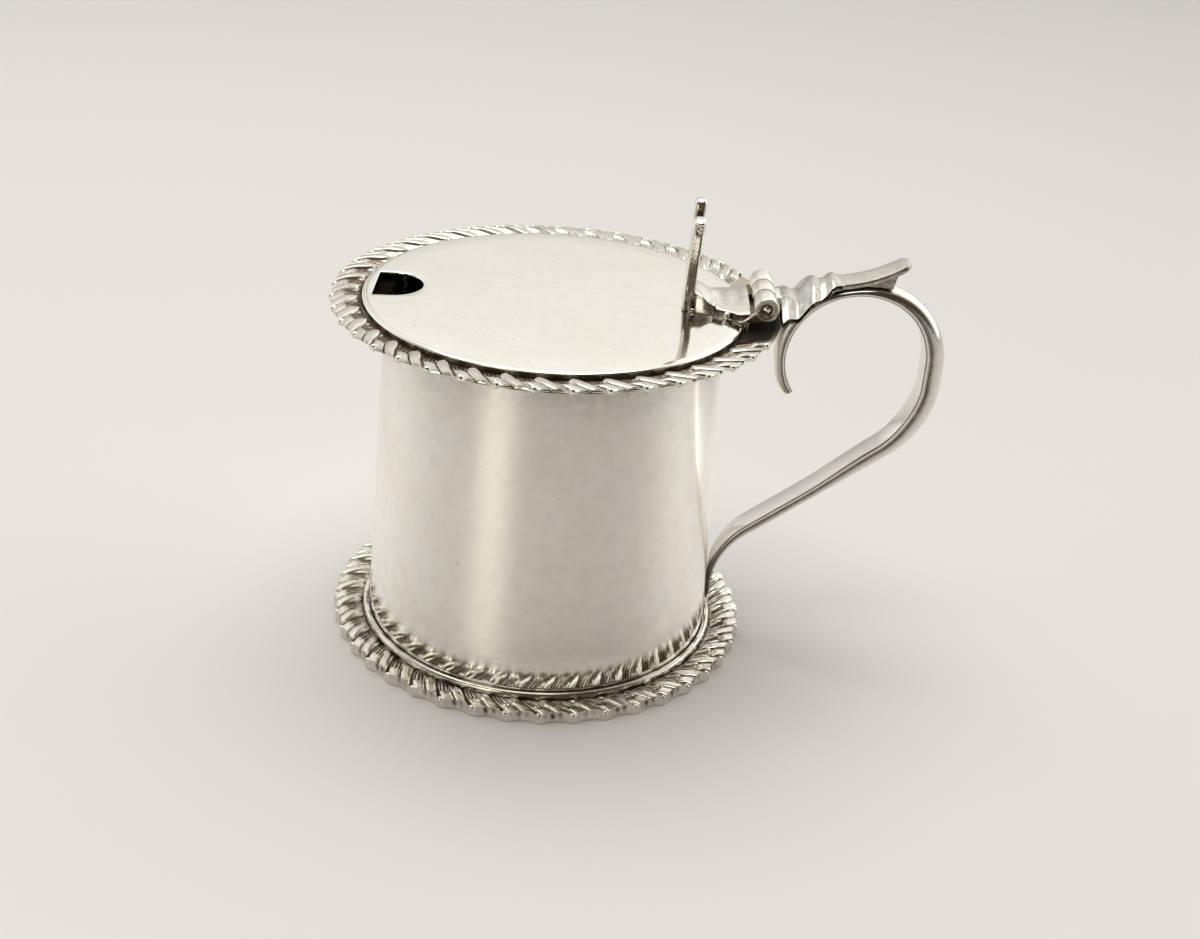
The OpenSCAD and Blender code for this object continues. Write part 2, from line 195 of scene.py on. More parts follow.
class Shape:
    """Points, faces and per-point darkness (tarnish and painted shade) of one piece, gathered shell by shell;
    each method gives the shape back.
    """

    def __init__(self):
        self.points = []
        self.faces = []
        self.tarnish_and_shade = []

    def add(self, points, faces, tarnish_and_shade=0.0):
        start = len(self.points)
        points = np.asarray(points, float).reshape(-1, 3)
        self.points.extend(points.tolist())
        self.faces.extend(tuple(start + i for i in face) for face in faces)
        self.tarnish_and_shade.extend(np.broadcast_to(np.ravel(tarnish_and_shade), len(points)).tolist())
        return self

    def loft(self, rings, closed=False, caps=True, tarnish_and_shade=0.0):
        """Skin over equal rings of points; a closed loft joins the last ring to the first."""
        rings = np.asarray(rings, float)
        count, size = rings.shape[:2]
        faces = []
        for i in range(count if closed else count - 1):
            here = i * size
            there = (i + 1) % count * size
            for j in range(size):
                k = (j + 1) % size
                faces.append((here + j, here + k, there + k, there + j))
        if caps and not closed:
            faces.append(tuple(range(size))[::-1])
            faces.append(tuple(range((count - 1) * size, count * size)))
        return self.add(rings, faces, tarnish_and_shade)

    def lathe(self, profile, steps, tarnish_and_shade=0.0, wobble=None, hinge=False):
        """A closed profile of (radius, height) turned about Z, or of (radius, y) about the hinge's axis."""
        profile = np.asarray(profile, float)
        turn = around(steps)[:, None]
        height = np.broadcast_to(profile[None, :, 1], (steps, len(profile)))
        radius = profile[None, :, 0] + (0 * height if wobble is None else wobble(turn, height))
        rings = np.stack([radius * np.cos(turn), radius * np.sin(turn), height], axis=2)
        if hinge:
            rings = rings[:, :, [0, 2, 1]] + [HINGE_X, 0, HINGE_Z]
        return self.loft(rings, closed=True, tarnish_and_shade=np.broadcast_to(tarnish_and_shade, radius.shape))

    def ball(self, centre, radius, rows=10, steps=20):
        """A small cast bead."""
        turn = around(steps)
        rings = []
        for tilt in np.linspace(-88, 88, rows):
            flat, rise = radius * ahead(tilt)
            ring = np.column_stack([flat * np.cos(turn), flat * np.sin(turn), np.full(steps, rise)])
            rings.append(ring + centre)
        return self.loft(rings)

    def rod(self, path, radii, tarnish_and_shade=0.0):
        """A round bar along a path, with a radius for each of its points."""
        path = np.asarray(path, float)
        along = unit(np.gradient(path, axis=0))
        turn = around(14)
        rings = []
        for point, way, radius in zip(path, along, radii):
            side = unit(np.cross(way, (0.1, 0.98, 0.17)))
            other = np.cross(way, side)
            rings.append(point + radius * (np.outer(np.cos(turn), side) + np.outer(np.sin(turn), other)))
        return self.loft(rings, tarnish_and_shade=tarnish_and_shade)

    def slab(self, outline, low, high, radius, place, tarnish_and_shade=0.0, steps=4, lip=0.12):
        """A plate of one outline between two heights, with rounded edges; place sets its points in space."""
        levels = [(radius + lip, low)]
        for k in range(steps + 1):
            turn = pi / 2 * k / steps
            levels.append((radius * (1 - sin(turn)), low + radius * (1 - cos(turn))))
        levels += [(amount, low + high - level) for amount, level in levels[::-1]]
        rings = [[place(*point, level) for point in inset(outline, amount)] for amount, level in levels]
        return self.loft(rings, tarnish_and_shade=tarnish_and_shade)


def make_piece(name, shape, look, body, nodes, crease=CREASE):
    """A mesh object from a shape, riding on a CAD body and standing for CAD nodes."""
    mesh = bpy.data.meshes.new(name)
    mesh.from_pydata((np.array(shape.points) * MM).tolist(), [], shape.faces)
    mesh.shade_smooth()
    tidy = bmesh.new()
    tidy.from_mesh(mesh)
    bmesh.ops.recalc_face_normals(tidy, faces=tidy.faces)
    caps = [face for face in tidy.faces if len(face.verts) > 4]
    filled = bmesh.ops.triangulate(tidy, faces=caps, ngon_method="BEAUTY")
    for face in filled["faces"]:
        face.smooth = False
    tidy.to_mesh(mesh)
    tidy.free()
    mesh.set_sharp_from_angle(angle=radians(crease))
    layer = mesh.attributes.new("tarnish_and_shade", "FLOAT", "POINT")
    layer.data.foreach_set("value", np.clip(np.array(shape.tarnish_and_shade, float), 0, 1))
    mesh.materials.append(look)
    piece = bpy.data.objects.new(name, mesh)
    bpy.context.scene.collection.objects.link(piece)
    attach(piece, body)
    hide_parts(*nodes)
    return piece


# ---- materials

def put(tree, kind, inputs=None, **settings):
    """Adds a shader node; inputs are values or sockets to link."""
    made = tree.nodes.new("ShaderNode" + kind)
    for key, value in settings.items():
        setattr(made, key, value)
    for key, value in (inputs or {}).items():
        if isinstance(value, bpy.types.NodeSocket):
            tree.links.new(value, made.inputs[key])
        else:
            made.inputs[key].default_value = value
    return made


def sum_up(tree, operation, first, second):
    return put(tree, "Math", {0: first, 1: second}, operation=operation).outputs[0]


def ramp(tree, value, low, high, start=0.0, end=1.0):
    """A value carried from low..high to start..end, softly."""
    inputs = {"Value": value, "From Min": low, "From Max": high, "To Min": start, "To Max": end}
    return put(tree, "MapRange", inputs, interpolation_type="SMOOTHSTEP").outputs[0]


def mix(tree, share, first, second):
    return put(tree, "Mix", {0: share, 6: first, 7: second}, data_type="RGBA").outputs[2]


def noise(tree, vector, scale, detail=3.0):
    inputs = {"Vector": vector, "Scale": scale, "Detail": detail, "Roughness": 0.55}
    return put(tree, "TexNoise", inputs).outputs[0]


def new_look(name):
    look = bpy.data.materials.new(name)
    look.use_nodes = True
    look.node_tree.nodes.clear()
    return look, look.node_tree


def finish_look(tree, shader):
    put(tree, "OutputMaterial", {"Surface": shader.outputs[0]})


def millimetres(tree):
    """Object coordinates in millimetres, so that a noise's scale is per millimetre."""
    place = put(tree, "TexCoord").outputs["Object"]
    return put(tree, "VectorMath", {0: place, 1: (1 / MM,) * 3}, operation="MULTIPLY").outputs[0]


def silver_look(name, rough, wear=0.1, scratch=0.02, grain=(1.0, 1.0, 1.0), turned=0.0, low=None,
                clean=(0.92, 0.90, 0.85), stain_and_shade_colour=(0.06, 0.040, 0.024), pitted=0.735, mottle=0.0, patch=0.72,
                tint=1.0):
    """Old silver: warm bloom, fine scratches, rare pits, and brown tarnish and painted shade where the mesh
    asks for it.

    low = (start, end, rough): the surface is that much smoother below these heights.
    """
    look, tree = new_look(name)
    place = millimetres(tree)
    fine = put(tree, "VectorMath", {0: place, 1: grain}, operation="MULTIPLY").outputs[0]
    # The mesh's darkness: real tarnish, and on many pieces painted shade and painted reflection, mixed
    # towards one brown.
    tarnish_and_shade = put(tree, "Attribute", attribute_name="tarnish_and_shade").outputs["Fac"]

    cloud = noise(tree, place, 0.11)
    streak = noise(tree, fine, 2.6, 4.0)
    speck = noise(tree, place, 1.15, 2.0)
    bloom = (clean[0] * 0.98, clean[1] * 0.965, clean[2] * 0.935, 1)
    colour = mix(tree, ramp(tree, cloud, 0.3, 0.75), (*clean, 1), bloom)
    if mottle:
        grey = tuple(0.68 * part for part in clean)
        spots = ramp(tree, noise(tree, place, 0.42, 4.0), 0.42, 0.68, 0.0, mottle)
        colour = mix(tree, spots, colour, (*grey, 1))
    pits = ramp(tree, speck, pitted, pitted + 0.04, 0.0, 0.42)
    colour = mix(tree, pits, colour, (0.30, 0.25, 0.18, 1))
    uneven = ramp(tree, noise(tree, place, 0.9), 0.25, 0.6, patch, 1.12)
    patchy = sum_up(tree, "MULTIPLY", tarnish_and_shade, uneven)
    patchy = ramp(tree, patchy, 0.02, 0.98)
    colour = mix(tree, patchy, colour, (*stain_and_shade_colour, 1))

    if low:
        height = put(tree, "SeparateXYZ", {0: place}).outputs[2]
        rough = ramp(tree, height, *low, rough)
    dull = sum_up(tree, "ADD", rough, ramp(tree, streak, 0.3, 0.75, 0.0, wear))
    dull = sum_up(tree, "ADD", dull, sum_up(tree, "MULTIPLY", patchy, 0.22))
    bump = put(tree, "Bump", {"Strength": 1.0, "Distance": scratch * MM, "Height": streak})
    inputs = {"Base Color": colour, "Metallic": 1.0, "Roughness": dull, "Normal": bump.outputs[0]}
    shader = put(tree, "BsdfPrincipled", inputs)
    shader.inputs["Specular Tint"].default_value = (tint, tint, tint, 1)
    if turned:
        coat = {"Coat Weight": 0.5, "Coat Roughness": 0.05, "Coat IOR": 2.4}
        for key, value in {"Anisotropic": turned, "Anisotropic Rotation": 0.25, **coat}.items():
            shader.inputs[key].default_value = value
        lathe_lines = put(tree, "Tangent", direction_type="RADIAL", axis="Z")
        tree.links.new(lathe_lines.outputs[0], shader.inputs["Tangent"])
    finish_look(tree, shader)
    return look


def glass_look():
    """Cobalt glass with faint blowing streaks."""
    look, tree = new_look("cobalt_glass")
    wave = noise(tree, millimetres(tree), 0.08)
    colour = mix(tree, wave, (0.02, 0.045, 0.42, 1), (0.035, 0.08, 0.55, 1))
    bump = put(tree, "Bump", {"Strength": 0.4, "Distance": 0.06 * MM, "Height": wave})
    inputs = {"Base Color": colour, "Roughness": 0.03, "IOR": 1.5, "Transmission Weight": 1.0}
    inputs["Normal"] = bump.outputs[0]
    finish_look(tree, put(tree, "BsdfPrincipled", inputs))
    return look


def floor_look():
    look, tree = new_look("pale_floor")
    place = put(tree, "TexCoord").outputs["Object"]
    colour = mix(tree, noise(tree, place, 9.0), (0.68, 0.675, 0.665, 1), (0.70, 0.695, 0.685, 1))
    finish_look(tree, put(tree, "BsdfPrincipled", {"Base Color": colour, "Roughness": 0.75}))
    return look


# ---- gadroon borders

def repeat_places():
    """Places across one repeat, closer together at its two grooves."""
    even = np.arange(0, 1, 1 / 36)
    grooves = np.array([0.01, 0.02, 0.034, 0.05, 0.44, 0.452, THIN_AT, 0.474, 0.486, 0.95, 0.966, 0.98, 0.99])
    least = 0.007
    places = np.unique(np.round(np.concatenate([even, grooves]), 3))
    keep = np.concatenate([[True], np.diff(places) > least])
    return places[keep]


def lobe(across):
    """A lobe's flat-topped section; across is 1 at its edge."""
    return np.clip(1 - across ** 3, 0, 1) ** 0.55


def lobes(u, v, style):
    """Height of the ornament over the border's plain top, and its darkness, at (u round a repeat, v outward):
    tarnish in the grooves, painted shade in the cove and between the lobes.
    """
    if style["pointed"]:
        nose = 0.1 + 0.9 * np.clip(v / 0.72, 0, 1) ** 0.85
        lift = step(v, -0.1, 0.45)
        outer = step(v, 0.5, 0.3)
    else:
        nose = np.sqrt(1 - (1 - np.clip((v - 0.09) / 0.34, 0, 1)) ** 2)
        lift = 1
        outer = step(v, 0.42, 0.24)
    across = np.abs(u - WIDE_AT) / (WIDE_HALF * nose + 0.002)
    wide = 0.46 * lobe(across) * lift
    small = 0.4 * lobe(np.abs(u - SMALL_AT) / SMALL_HALF) * outer
    reeds = step(u, 0.03, 0.05) * (1 - step(u, 0.41, 0.05)) * (1 - outer) * step(v, 0, 0.08)
    reed_wave = np.cos(2 * pi * (u - 0.06) / REED_PITCH)
    main = (u + 0.5) % 1 - 0.5
    cut = bell(main, 0, 0.052)
    thin = bell(u, THIN_AT, 0.023) * step(v, 0.16, 0.2)
    pit = bell(main, 0.02, 0.06) * bell(v, 0.86, 0.08)
    edge = step(v, 0.72, 0.28)
    scallop = 0.4 * edge * (1 - np.abs(np.sin(pi * u)) ** 0.55)
    height = np.maximum(wide, small) + style["reed_depth"] * reeds * (reed_wave - 0.4)
    height = height - (style["groove"] + 0.15 * edge) * cut - 0.18 * thin - scallop - 0.2 * pit
    # Painted shade with tarnish: the grooves and pits hold tarnish, while the reeds, the cove at the inner
    # edge and the hollows beside the lobes are darkened as shade.
    dark = [cut, 0.9 * thin, pit, reeds * (style["reed_dark"] - style["reed_light"] * reed_wave)]
    dark.append(style["cove_dark"] * (1 - step(v, 0.04, 0.1)))
    if style["pointed"]:
        vein = bell(u, VEIN_AT, 0.02) * step(v, 0.2, 0.1) * (1 - step(v, 0.55, 0.2))
        height = height - 0.07 * vein
        dark += [0.6 * vein, 0.38 * (1 - step(v, 0.12, 0.33))]
    else:
        dark.append(0.85 * bell(across, 1.08, 0.13) * (1 - step(v, 0.3, 0.12)))
    return height, np.maximum.reduce(np.broadcast_arrays(*dark))


def swirl_at(v, curl):
    """How far the ornament has turned at v outward; curl is the share that grows towards the edge."""
    return SWIRL * ((1 - curl) * v + curl * v * v)


def gadroon(name, inner_r, outer_r, base_z, heights, under, end_angle, repeats, style, look, nodes):
    """A cast border of swirled lobes. heights are over base_z at its inner edge, crest and outer edge."""
    width = outer_r - inner_r
    places = repeat_places()
    turns = np.concatenate([n + places for n in range(ceil(repeats))])
    closed = repeats == REPEATS
    if not closed:
        turns = np.append(turns[turns < repeats - 0.005], repeats)
    whole = turns[:, None]
    u = whole % 1
    v = np.concatenate([np.linspace(0, 0.9, 20), [0.93, 0.955, 0.975, 0.99, 1.0]])[None, :]
    inner_h, crest_h, edge_h = heights
    crest = 0.6
    plain_h = crest_h - 0.5
    plain = inner_h + (plain_h - inner_h) * np.sin(pi / 2 * np.clip(v / crest, 0, 1))
    plain = plain - (plain_h - edge_h) * step(v, crest, 1 - crest)
    ornament, tarnish_and_shade = lobes(u, v, style)
    bottom = under[0] + (under[1] - under[0]) * v
    top = np.maximum(plain + ornament, bottom + 0.07)
    bulge = np.exp(-np.abs((((u + 0.45) % 1) - 0.5) / 0.24) ** 2.5)
    reach = width - style["scallop"] * (1 - bulge)
    first = end_angle - repeats * REPEAT_ANGLE - SWIRL
    angle = first + whole * REPEAT_ANGLE + swirl_at(v, style["curl"])
    # Painted light: the lobes on the far side are drawn less dark, as they catch the bright room behind.
    far_side_light = step(np.sin(np.radians(angle)), 0.25, 0.4)
    tarnish_and_shade = np.maximum(tarnish_and_shade * (1 - 0.6 * far_side_light), style["film"])

    # Painted shade: dark arches on the outer face under the overhanging lobes, between the beads.
    edge_up = np.array([[0.94, 0.84, 0.68, 0.5, 0.3, 0.12, 0.03]])
    edge_out = np.array([[0.02, 0.04, 0.05, 0.04, 0.03, 0.02, 0.0]])
    edge_hollow = np.array([[0.0, 0.1, 0.16, 0.12, 0.05, 0.0, 0.0]])
    edge_dark = np.array([[0.0, 0.9, 1.0, 0.85, 0.45, 0.15, 0.1]])
    arch = np.abs(np.sin(pi * u)) ** 0.8
    edge_z = under[1] + (top[:, -1:] - under[1]) * edge_up
    edge_r = inner_r + reach + edge_out - arch * edge_hollow
    edge_a = np.broadcast_to(angle[:, -1:], edge_z.shape)
    uneven = 0.75 + 0.25 * np.sin(2.3 * whole + 1.7 * np.sin(0.9 * whole))
    spots = arch ** 2 * (0.62 + 0.38 * np.cos(8 * pi * (u - 0.42)))
    edge_t = style["dark_patches"] * uneven * spots * edge_dark
    low_r = inner_r + np.concatenate([reach - 0.15, np.zeros_like(reach)], axis=1)
    low_z = np.broadcast_to([[under[1], under[0]]], low_r.shape)
    low_a = np.concatenate([angle[:, -1:], angle[:, :1]], axis=1)
    # Painted shade on the border's underside.
    low_t = np.full(low_r.shape, 0.9)
    all_r = np.concatenate([inner_r + reach * v, edge_r, low_r], axis=1)
    all_z = np.concatenate([top, edge_z, low_z], axis=1) + base_z
    all_a = np.radians(np.concatenate([angle, edge_a, low_a], axis=1))
    all_t = np.concatenate([tarnish_and_shade, edge_t, low_t], axis=1)
    rings = np.stack([all_r * np.cos(all_a), all_r * np.sin(all_a), all_z], axis=2)
    shape = Shape().loft(rings, closed=closed, tarnish_and_shade=all_t)
    bead_r = style["bead_r"]
    bead_z = base_z + under[1] + 0.76 * (edge_h - under[1])
    for n in range(ceil(repeats)):
        x, y = (outer_r - bead_r + 0.14) * ahead(first + n * REPEAT_ANGLE + SWIRL)
        shape.ball((x, y, bead_z), bead_r, rows=9, steps=16)
    make_piece(name, shape, look, "pot", nodes, crease=50)


# ---- foot, drum and rim

def drum(look):
    """The tapered drum with slight hand-made waves."""
    rows = np.linspace(0, 1, 36)
    outer = [(DRUM_BOTTOM_R - DRUM_TAPER * t, BASE_TOP + (DRUM_TOP - BASE_TOP) * t) for t in rows]
    inner = [(DRUM_TOP_R - DRUM_WALL, DRUM_TOP), (DRUM_BOTTOM_R - DRUM_WALL, BASE_TOP)]
    profile = np.array(outer + inner)
    # Painted shade: darker under the rim's overhang and on the inside wall; near the foot the darkening is
    # partly tarnish and partly a painted reflection of the foot.
    dark = 0.35 * np.exp(WIRE_TOP - profile[:, 1]) + 0.4 * np.exp(-(DRUM_TOP - profile[:, 1]) / 8)
    dark[-2:] = 0.8

    def wobble(turn, height):
        share = (height - BASE_TOP) / (DRUM_TOP - BASE_TOP)
        wave = 0.03 * np.sin(3 * turn + 1.1) + 0.012 * np.sin(8 * turn + 5 * share)
        return wave * np.sin(pi * share)

    shape = Shape().lathe(profile, STEPS, np.clip(dark, 0, 0.7), wobble)
    make_piece("drum", shape, look, "pot", ["drum_wall"])


def foot_band(look):
    """The reeded wire in the corner between drum and foot, with dark dashes and painted shade in its lower
    corners.
    """
    inner = DRUM_BOTTOM_R + SEAM
    outline = [
        (0, 0), (0, 0.98), (0.05, 1.1), (0.12, 1.16), (0.25, 1.19), (0.4, 1.19), (0.48, 1.19), (0.58, 1.17),
        (0.7, 1.1), (0.8, 0.98), (0.88, 0.82), (0.94, 0.64), (0.98, 0.4), (0.98, 0),
    ]
    profile = np.array(outline) * [(BASE_R - inner) / 0.98, (WIRE_TOP - BASE_TOP) / 1.2] + [inner, BASE_TOP]
    # Painted shade low on the outer side, against the border, and at the drum; the dashes darken the inner
    # half of the top.
    dark = np.array([0.6, 0.4, 0.6, 0.62, 0.62, 0.55, 0.1, 0.05, 0.05, 0.1, 0.2, 0.45, 0.9, 1])
    steps = 480
    turn = around(steps)[:, None]
    dash = np.sin(31 * turn) + 0.7 * np.sin(47 * turn + 1) + 0.8 * np.sin(13 * turn + 2)
    film = 0.2 + 0.12 * np.sin(9 * turn + 0.6) + 0.1 * np.sin(23 * turn)
    shape = Shape().lathe(profile, steps, np.maximum(dark[None, :] * smooth(0.4 + 0.9 * dash), film))
    make_piece("foot_band", shape, look, "pot", ["foot_wire"])


def hinge_land(look):
    """The plain plate under the hinge, with a rolled outer edge; its ends follow the border's swirl."""
    section = [
        (0, 0), (0, 0.9), (0.05, 1), (0.4, 1), (0.8, 1), (0.93, 0.97), (0.985, 0.8), (1, 0.5), (0.985, 0.15),
        (0.95, 0),
    ]
    shares = np.linspace(0, 1, 41)
    gap = 0.15
    step_in = 0.35
    rings = []
    for turn in shares:
        ring = []
        reach = RIM_R - step_in + (PLATE_R - RIM_R + step_in) * sin(pi * turn) ** 0.5
        for across, up in section:
            start = RIM_END_ANGLE - SWIRL + swirl_at(across, RIM_STYLE["curl"])
            end = (start + 360 - RIM_REPEATS * REPEAT_ANGLE - gap) % 360
            start = start + gap
            radius = RIM_INNER_R + (reach - RIM_INNER_R) * across
            x, y = radius * ahead(start + (end - start) * turn)
            ring.append((x, y, FLANGE_TOP + (PLATE_TOP - FLANGE_TOP) * up))
        rings.append(ring)
    # Painted shade and reflection: the plate is dark where the hinge and the handle's leaf overhang it, only
    # the crest of the rolled edge stays light, and it lightens towards one end.
    across_t = np.array([[0.95, 0.95, 0.95, 0.92, 0.85, 0.5, 0, 0, 0.2, 0.7]])
    near_t = 1 - 0.9 * step(shares[:, None], 0.6, 0.25)
    shape = Shape().loft(rings, tarnish_and_shade=across_t * near_t)
    make_piece("hinge_land", shape, look, "pot", ["hinge_plate"])


def flange(look):
    """The ring on the drum's edge that carries border and lid, with painted shade where it shows through the
    spoon slot and on its underside.
    """
    mouth = DRUM_TOP_R - DRUM_WALL
    outer = extent("rim_flange")[1][0]
    low = extent("rim_flange")[0][2]
    profile = [(mouth, low + 0.08), (mouth, FLANGE_TOP - 0.12), (mouth + 0.04, FLANGE_TOP - 0.03)]
    profile += [(mouth + across, FLANGE_TOP) for across in (0.12, 1.5, 3.2)]
    profile += [(outer, FLANGE_TOP), (outer, low), (mouth + 0.1, low)]
    # Painted shade: the mouth and inner top go dark where they show through the spoon slot; the underside is
    # dark as well.
    slot_shade = step(-np.cos(around(STEPS)[:, None]), 0.93, 0.055)
    dark = np.maximum(np.array([[1, 1, 1, 1, 1, 1, 0, 0, 0]]) * slot_shade, [[0, 0, 0, 0, 0, 0, 0, 0.9, 0.9]])
    shape = Shape().lathe(profile, STEPS, np.maximum(dark, 0.25))
    make_piece("flange", shape, look, "pot", ["rim_flange"])


def arc(centre_r, centre_z, radius, start, end, count):
    """Points (radius, height) on an arc of a turned profile."""
    return [np.array([centre_r, centre_z]) + radius * ahead(turn) for turn in np.linspace(start, end, count)]


def liner(look):
    """Glass cup with a rounded lip, a rounded heel and a thick floor."""
    wall = 2.0
    heel = 1.6
    fillet = 2.5
    floor_z = BASE_TOP + 3
    profile = [(0, BASE_TOP), (LINER_R - heel, BASE_TOP)]
    profile += arc(LINER_R - heel, BASE_TOP + heel, heel, -80, 0, 7)
    profile += arc(LINER_R - wall / 2, LINER_TOP - wall / 2, wall / 2, 0, 180, 13)
    profile += arc(LINER_R - wall - fillet, floor_z + fillet, fillet, 0, -90, 7)
    profile.append((0, floor_z))
    profile = [(max(r, 0.02), z) for r, z in profile]
    make_piece("liner_cup", Shape().lathe(profile, 160), look, "pot", ["glass_liner"])


# ---- lid

SLOT_START = -(LID_R - 2.0)
SLOT_HALF = 5.25
SLOT_TIP = SLOT_START + 7.8
SLOT_CENTRE = SLOT_TIP - SLOT_HALF
SLOT_BEVEL = 0.22
LID_FLAT_R = 26.0
LID_ROLL = 0.9
LID_DROOP = 0.16


def slot_outline(grow):
    """The spoon slot, anticlockwise: a straight outer end and a round tip, grown by an amount."""
    half = SLOT_HALF + grow
    start = SLOT_START - grow
    length = SLOT_CENTRE - start
    run = np.linspace(0, 1, 6)[1:-1]
    points = [(start, -half * s) for s in np.linspace(-1, 1, 13)]
    points += [(start + length * s, -half) for s in run]
    for turn in np.linspace(-pi / 2, pi / 2, 33):
        points.append((SLOT_CENTRE + half * cos(turn), half * sin(turn)))
    points += [(SLOT_CENTRE - length * s, half) for s in run]
    return np.array(points)


def lid_height(x, y):
    """The lid's top: nearly flat, drooping a little to its edge, with faint waves."""
    radius = np.hypot(x, y)
    droop = LID_DROOP * np.clip((radius - LID_FLAT_R) / (LID_R - LID_FLAT_R), 0, 1.2) ** 2
    wave = 0.008 * np.sin(0.23 * x + 0.7) * np.sin(0.19 * y + 0.4)
    return LID_TOP - droop + wave


def lid_plan(steps, flat_r):
    """Points and triangles of the lid's flat face, with the slot left out."""
    turn = around(steps)
    rim = np.column_stack([flat_r * np.cos(turn), flat_r * np.sin(turn)])
    hole = slot_outline(SLOT_BEVEL)
    inside = []
    spacing = 1.0
    for radius in np.arange(flat_r - spacing / 2, 0.4, -spacing):
        count = max(6, int(2 * pi * radius / spacing))
        for k in range(count):
            angle = 2 * pi * k / count
            inside.append((radius * cos(angle), radius * sin(angle)))
    inside = np.concatenate([inside, rim * (1 - 0.16 / flat_r)])
    far = np.linalg.norm(inside[:, None] - hole[None, :], axis=2).min(axis=1)
    in_slot = (inside[:, 0] > SLOT_START - 0.3) & (inside[:, 0] < SLOT_TIP)
    in_slot &= np.abs(inside[:, 1]) < SLOT_HALF
    inside = inside[(far > spacing / 2) & ~in_slot]
    plan = [Vector(p) for p in np.concatenate([rim, hole, inside])]
    edges = [(i, (i + 1) % steps) for i in range(steps)]
    edges += [(steps + i, steps + (i + 1) % len(hole)) for i in range(len(hole))]
    flat, _, triangles, _, _, _ = delaunay_2d_cdt(plan, edges, [], 1, 1e-6)
    flat = np.array([(p.x, p.y) for p in flat])
    middle = flat[np.array(triangles)].mean(axis=1)
    bevel = SLOT_BEVEL - 0.01
    cut_box = (middle[:, 0] > SLOT_START - bevel) & (middle[:, 0] < SLOT_CENTRE)
    cut_box &= np.abs(middle[:, 1]) < SLOT_HALF + bevel
    cut_tip = np.hypot(middle[:, 0] - SLOT_CENTRE, middle[:, 1]) < SLOT_HALF + bevel - 0.01
    cut_tip &= middle[:, 0] >= SLOT_CENTRE
    return flat, [t for t, cut in zip(triangles, cut_box | cut_tip) if not cut]


def lid_top(look):
    """Round plate with a rolled edge and a bevelled spoon slot."""
    steps = STEPS
    flat_r = LID_R - LID_ROLL
    turn = around(steps)
    flat, triangles = lid_plan(steps, flat_r)
    top = np.column_stack([flat, lid_height(flat[:, 0], flat[:, 1])])
    low = np.column_stack([flat, np.full(len(flat), LID_LOW)])
    shape = Shape().add(top, triangles)
    shape.add(low, [t[::-1] for t in triangles], 0.4)
    rolls = [(flat_r, None)]
    for bend in np.linspace(0, 90, 9)[1:]:
        inward, out = ahead(bend)
        drop = LID_DROOP + (LID_TOP - LID_DROOP - LID_LOW) * (1 - inward)
        rolls.append((flat_r + LID_ROLL * out, LID_TOP - drop))
    rolls.append((flat_r, LID_LOW))
    edge_rings = []
    for radius, level in rolls:
        x = radius * np.cos(turn)
        y = radius * np.sin(turn)
        z = lid_height(x, y) if level is None else np.full(steps, level)
        edge_rings.append(np.column_stack([x, y, z]))
    # Painted shade on the lower part of the rolled edge, and a painted reflection: a faint dark line where
    # the roll begins, stronger on the left.
    edge_t = np.repeat([[0, 0, 0, 0, 0, 0, 0.1, 0.3, 0.5, 0.5]], steps, axis=0).T
    edge_t[1] = np.clip(0.16 - 0.3 * np.cos(turn), 0, 1)
    shape.loft(edge_rings, caps=False, tarnish_and_shade=edge_t)
    # Painted shade: the slot's walls darken downwards.
    slot_rings = []
    bevels = [(SLOT_BEVEL, 0), (0.13, 0.02), (0.05, 0.07), (0.01, 0.16), (0, 0.28), (0, None)]
    for grow, sink in bevels + [(SLOT_BEVEL, None)]:
        plan_ring = slot_outline(grow)
        level = lid_height(plan_ring[:, 0], plan_ring[:, 1])
        z = np.full(len(plan_ring), LID_LOW) if sink is None else level - sink
        slot_rings.append(np.column_stack([plan_ring, z]))
    shape.loft(slot_rings, caps=False, tarnish_and_shade=np.repeat([0, 0, 0, 0.1, 0.4, 0.6, 0.5], len(slot_rings[0])))
    piece = make_piece("lid_top", shape, look, "lid", ["lid_plate"])
    weld(piece)


def weld(piece):
    """Joins points that lie on one another, so that shading runs across seams."""
    tidy = bmesh.new()
    tidy.from_mesh(piece.data)
    bmesh.ops.remove_doubles(tidy, verts=tidy.verts, dist=0.002 * MM)
    bmesh.ops.recalc_face_normals(tidy, faces=tidy.faces)
    tidy.to_mesh(piece.data)
    tidy.free()
    piece.data.set_sharp_from_angle(angle=radians(CREASE))


def lid_side(look):
    """The lid's side wall: a rounded wire with a fine upper line."""
    wire = 1.3
    height = LID_LOW - FLANGE_TOP
    outline = [
        (0.04, 0.0), (0, 0.1), (0, 0.35), (0.02, 0.6), (0.08, 0.82), (0.07, 0.92), (0.1, 1.0), (wire, 1.0),
        (wire, 0.0),
    ]
    profile = [(LID_R - into, FLANGE_TOP + height * up) for into, up in outline]
    turn = around(STEPS)[:, None]
    dash = smooth(0.6 + 0.3 * np.sin(37 * turn) + 0.3 * np.sin(53 * turn + 1))
    # Painted shade and reflection: the side wall is dark brown, as the border beside it and the dark room are
    # mirrored in it.
    dark = np.array([[1, 1, 0.9, 0.85, 1, 0.35, 0.6, 0.5, 0.5]])
    shape = Shape().lathe(profile, STEPS, dark * (0.7 + 0.3 * dash))
    make_piece("lid_side", shape, look, "lid", ["lid_edge_wire"])


# ---- leaves, thumbpiece and hinge

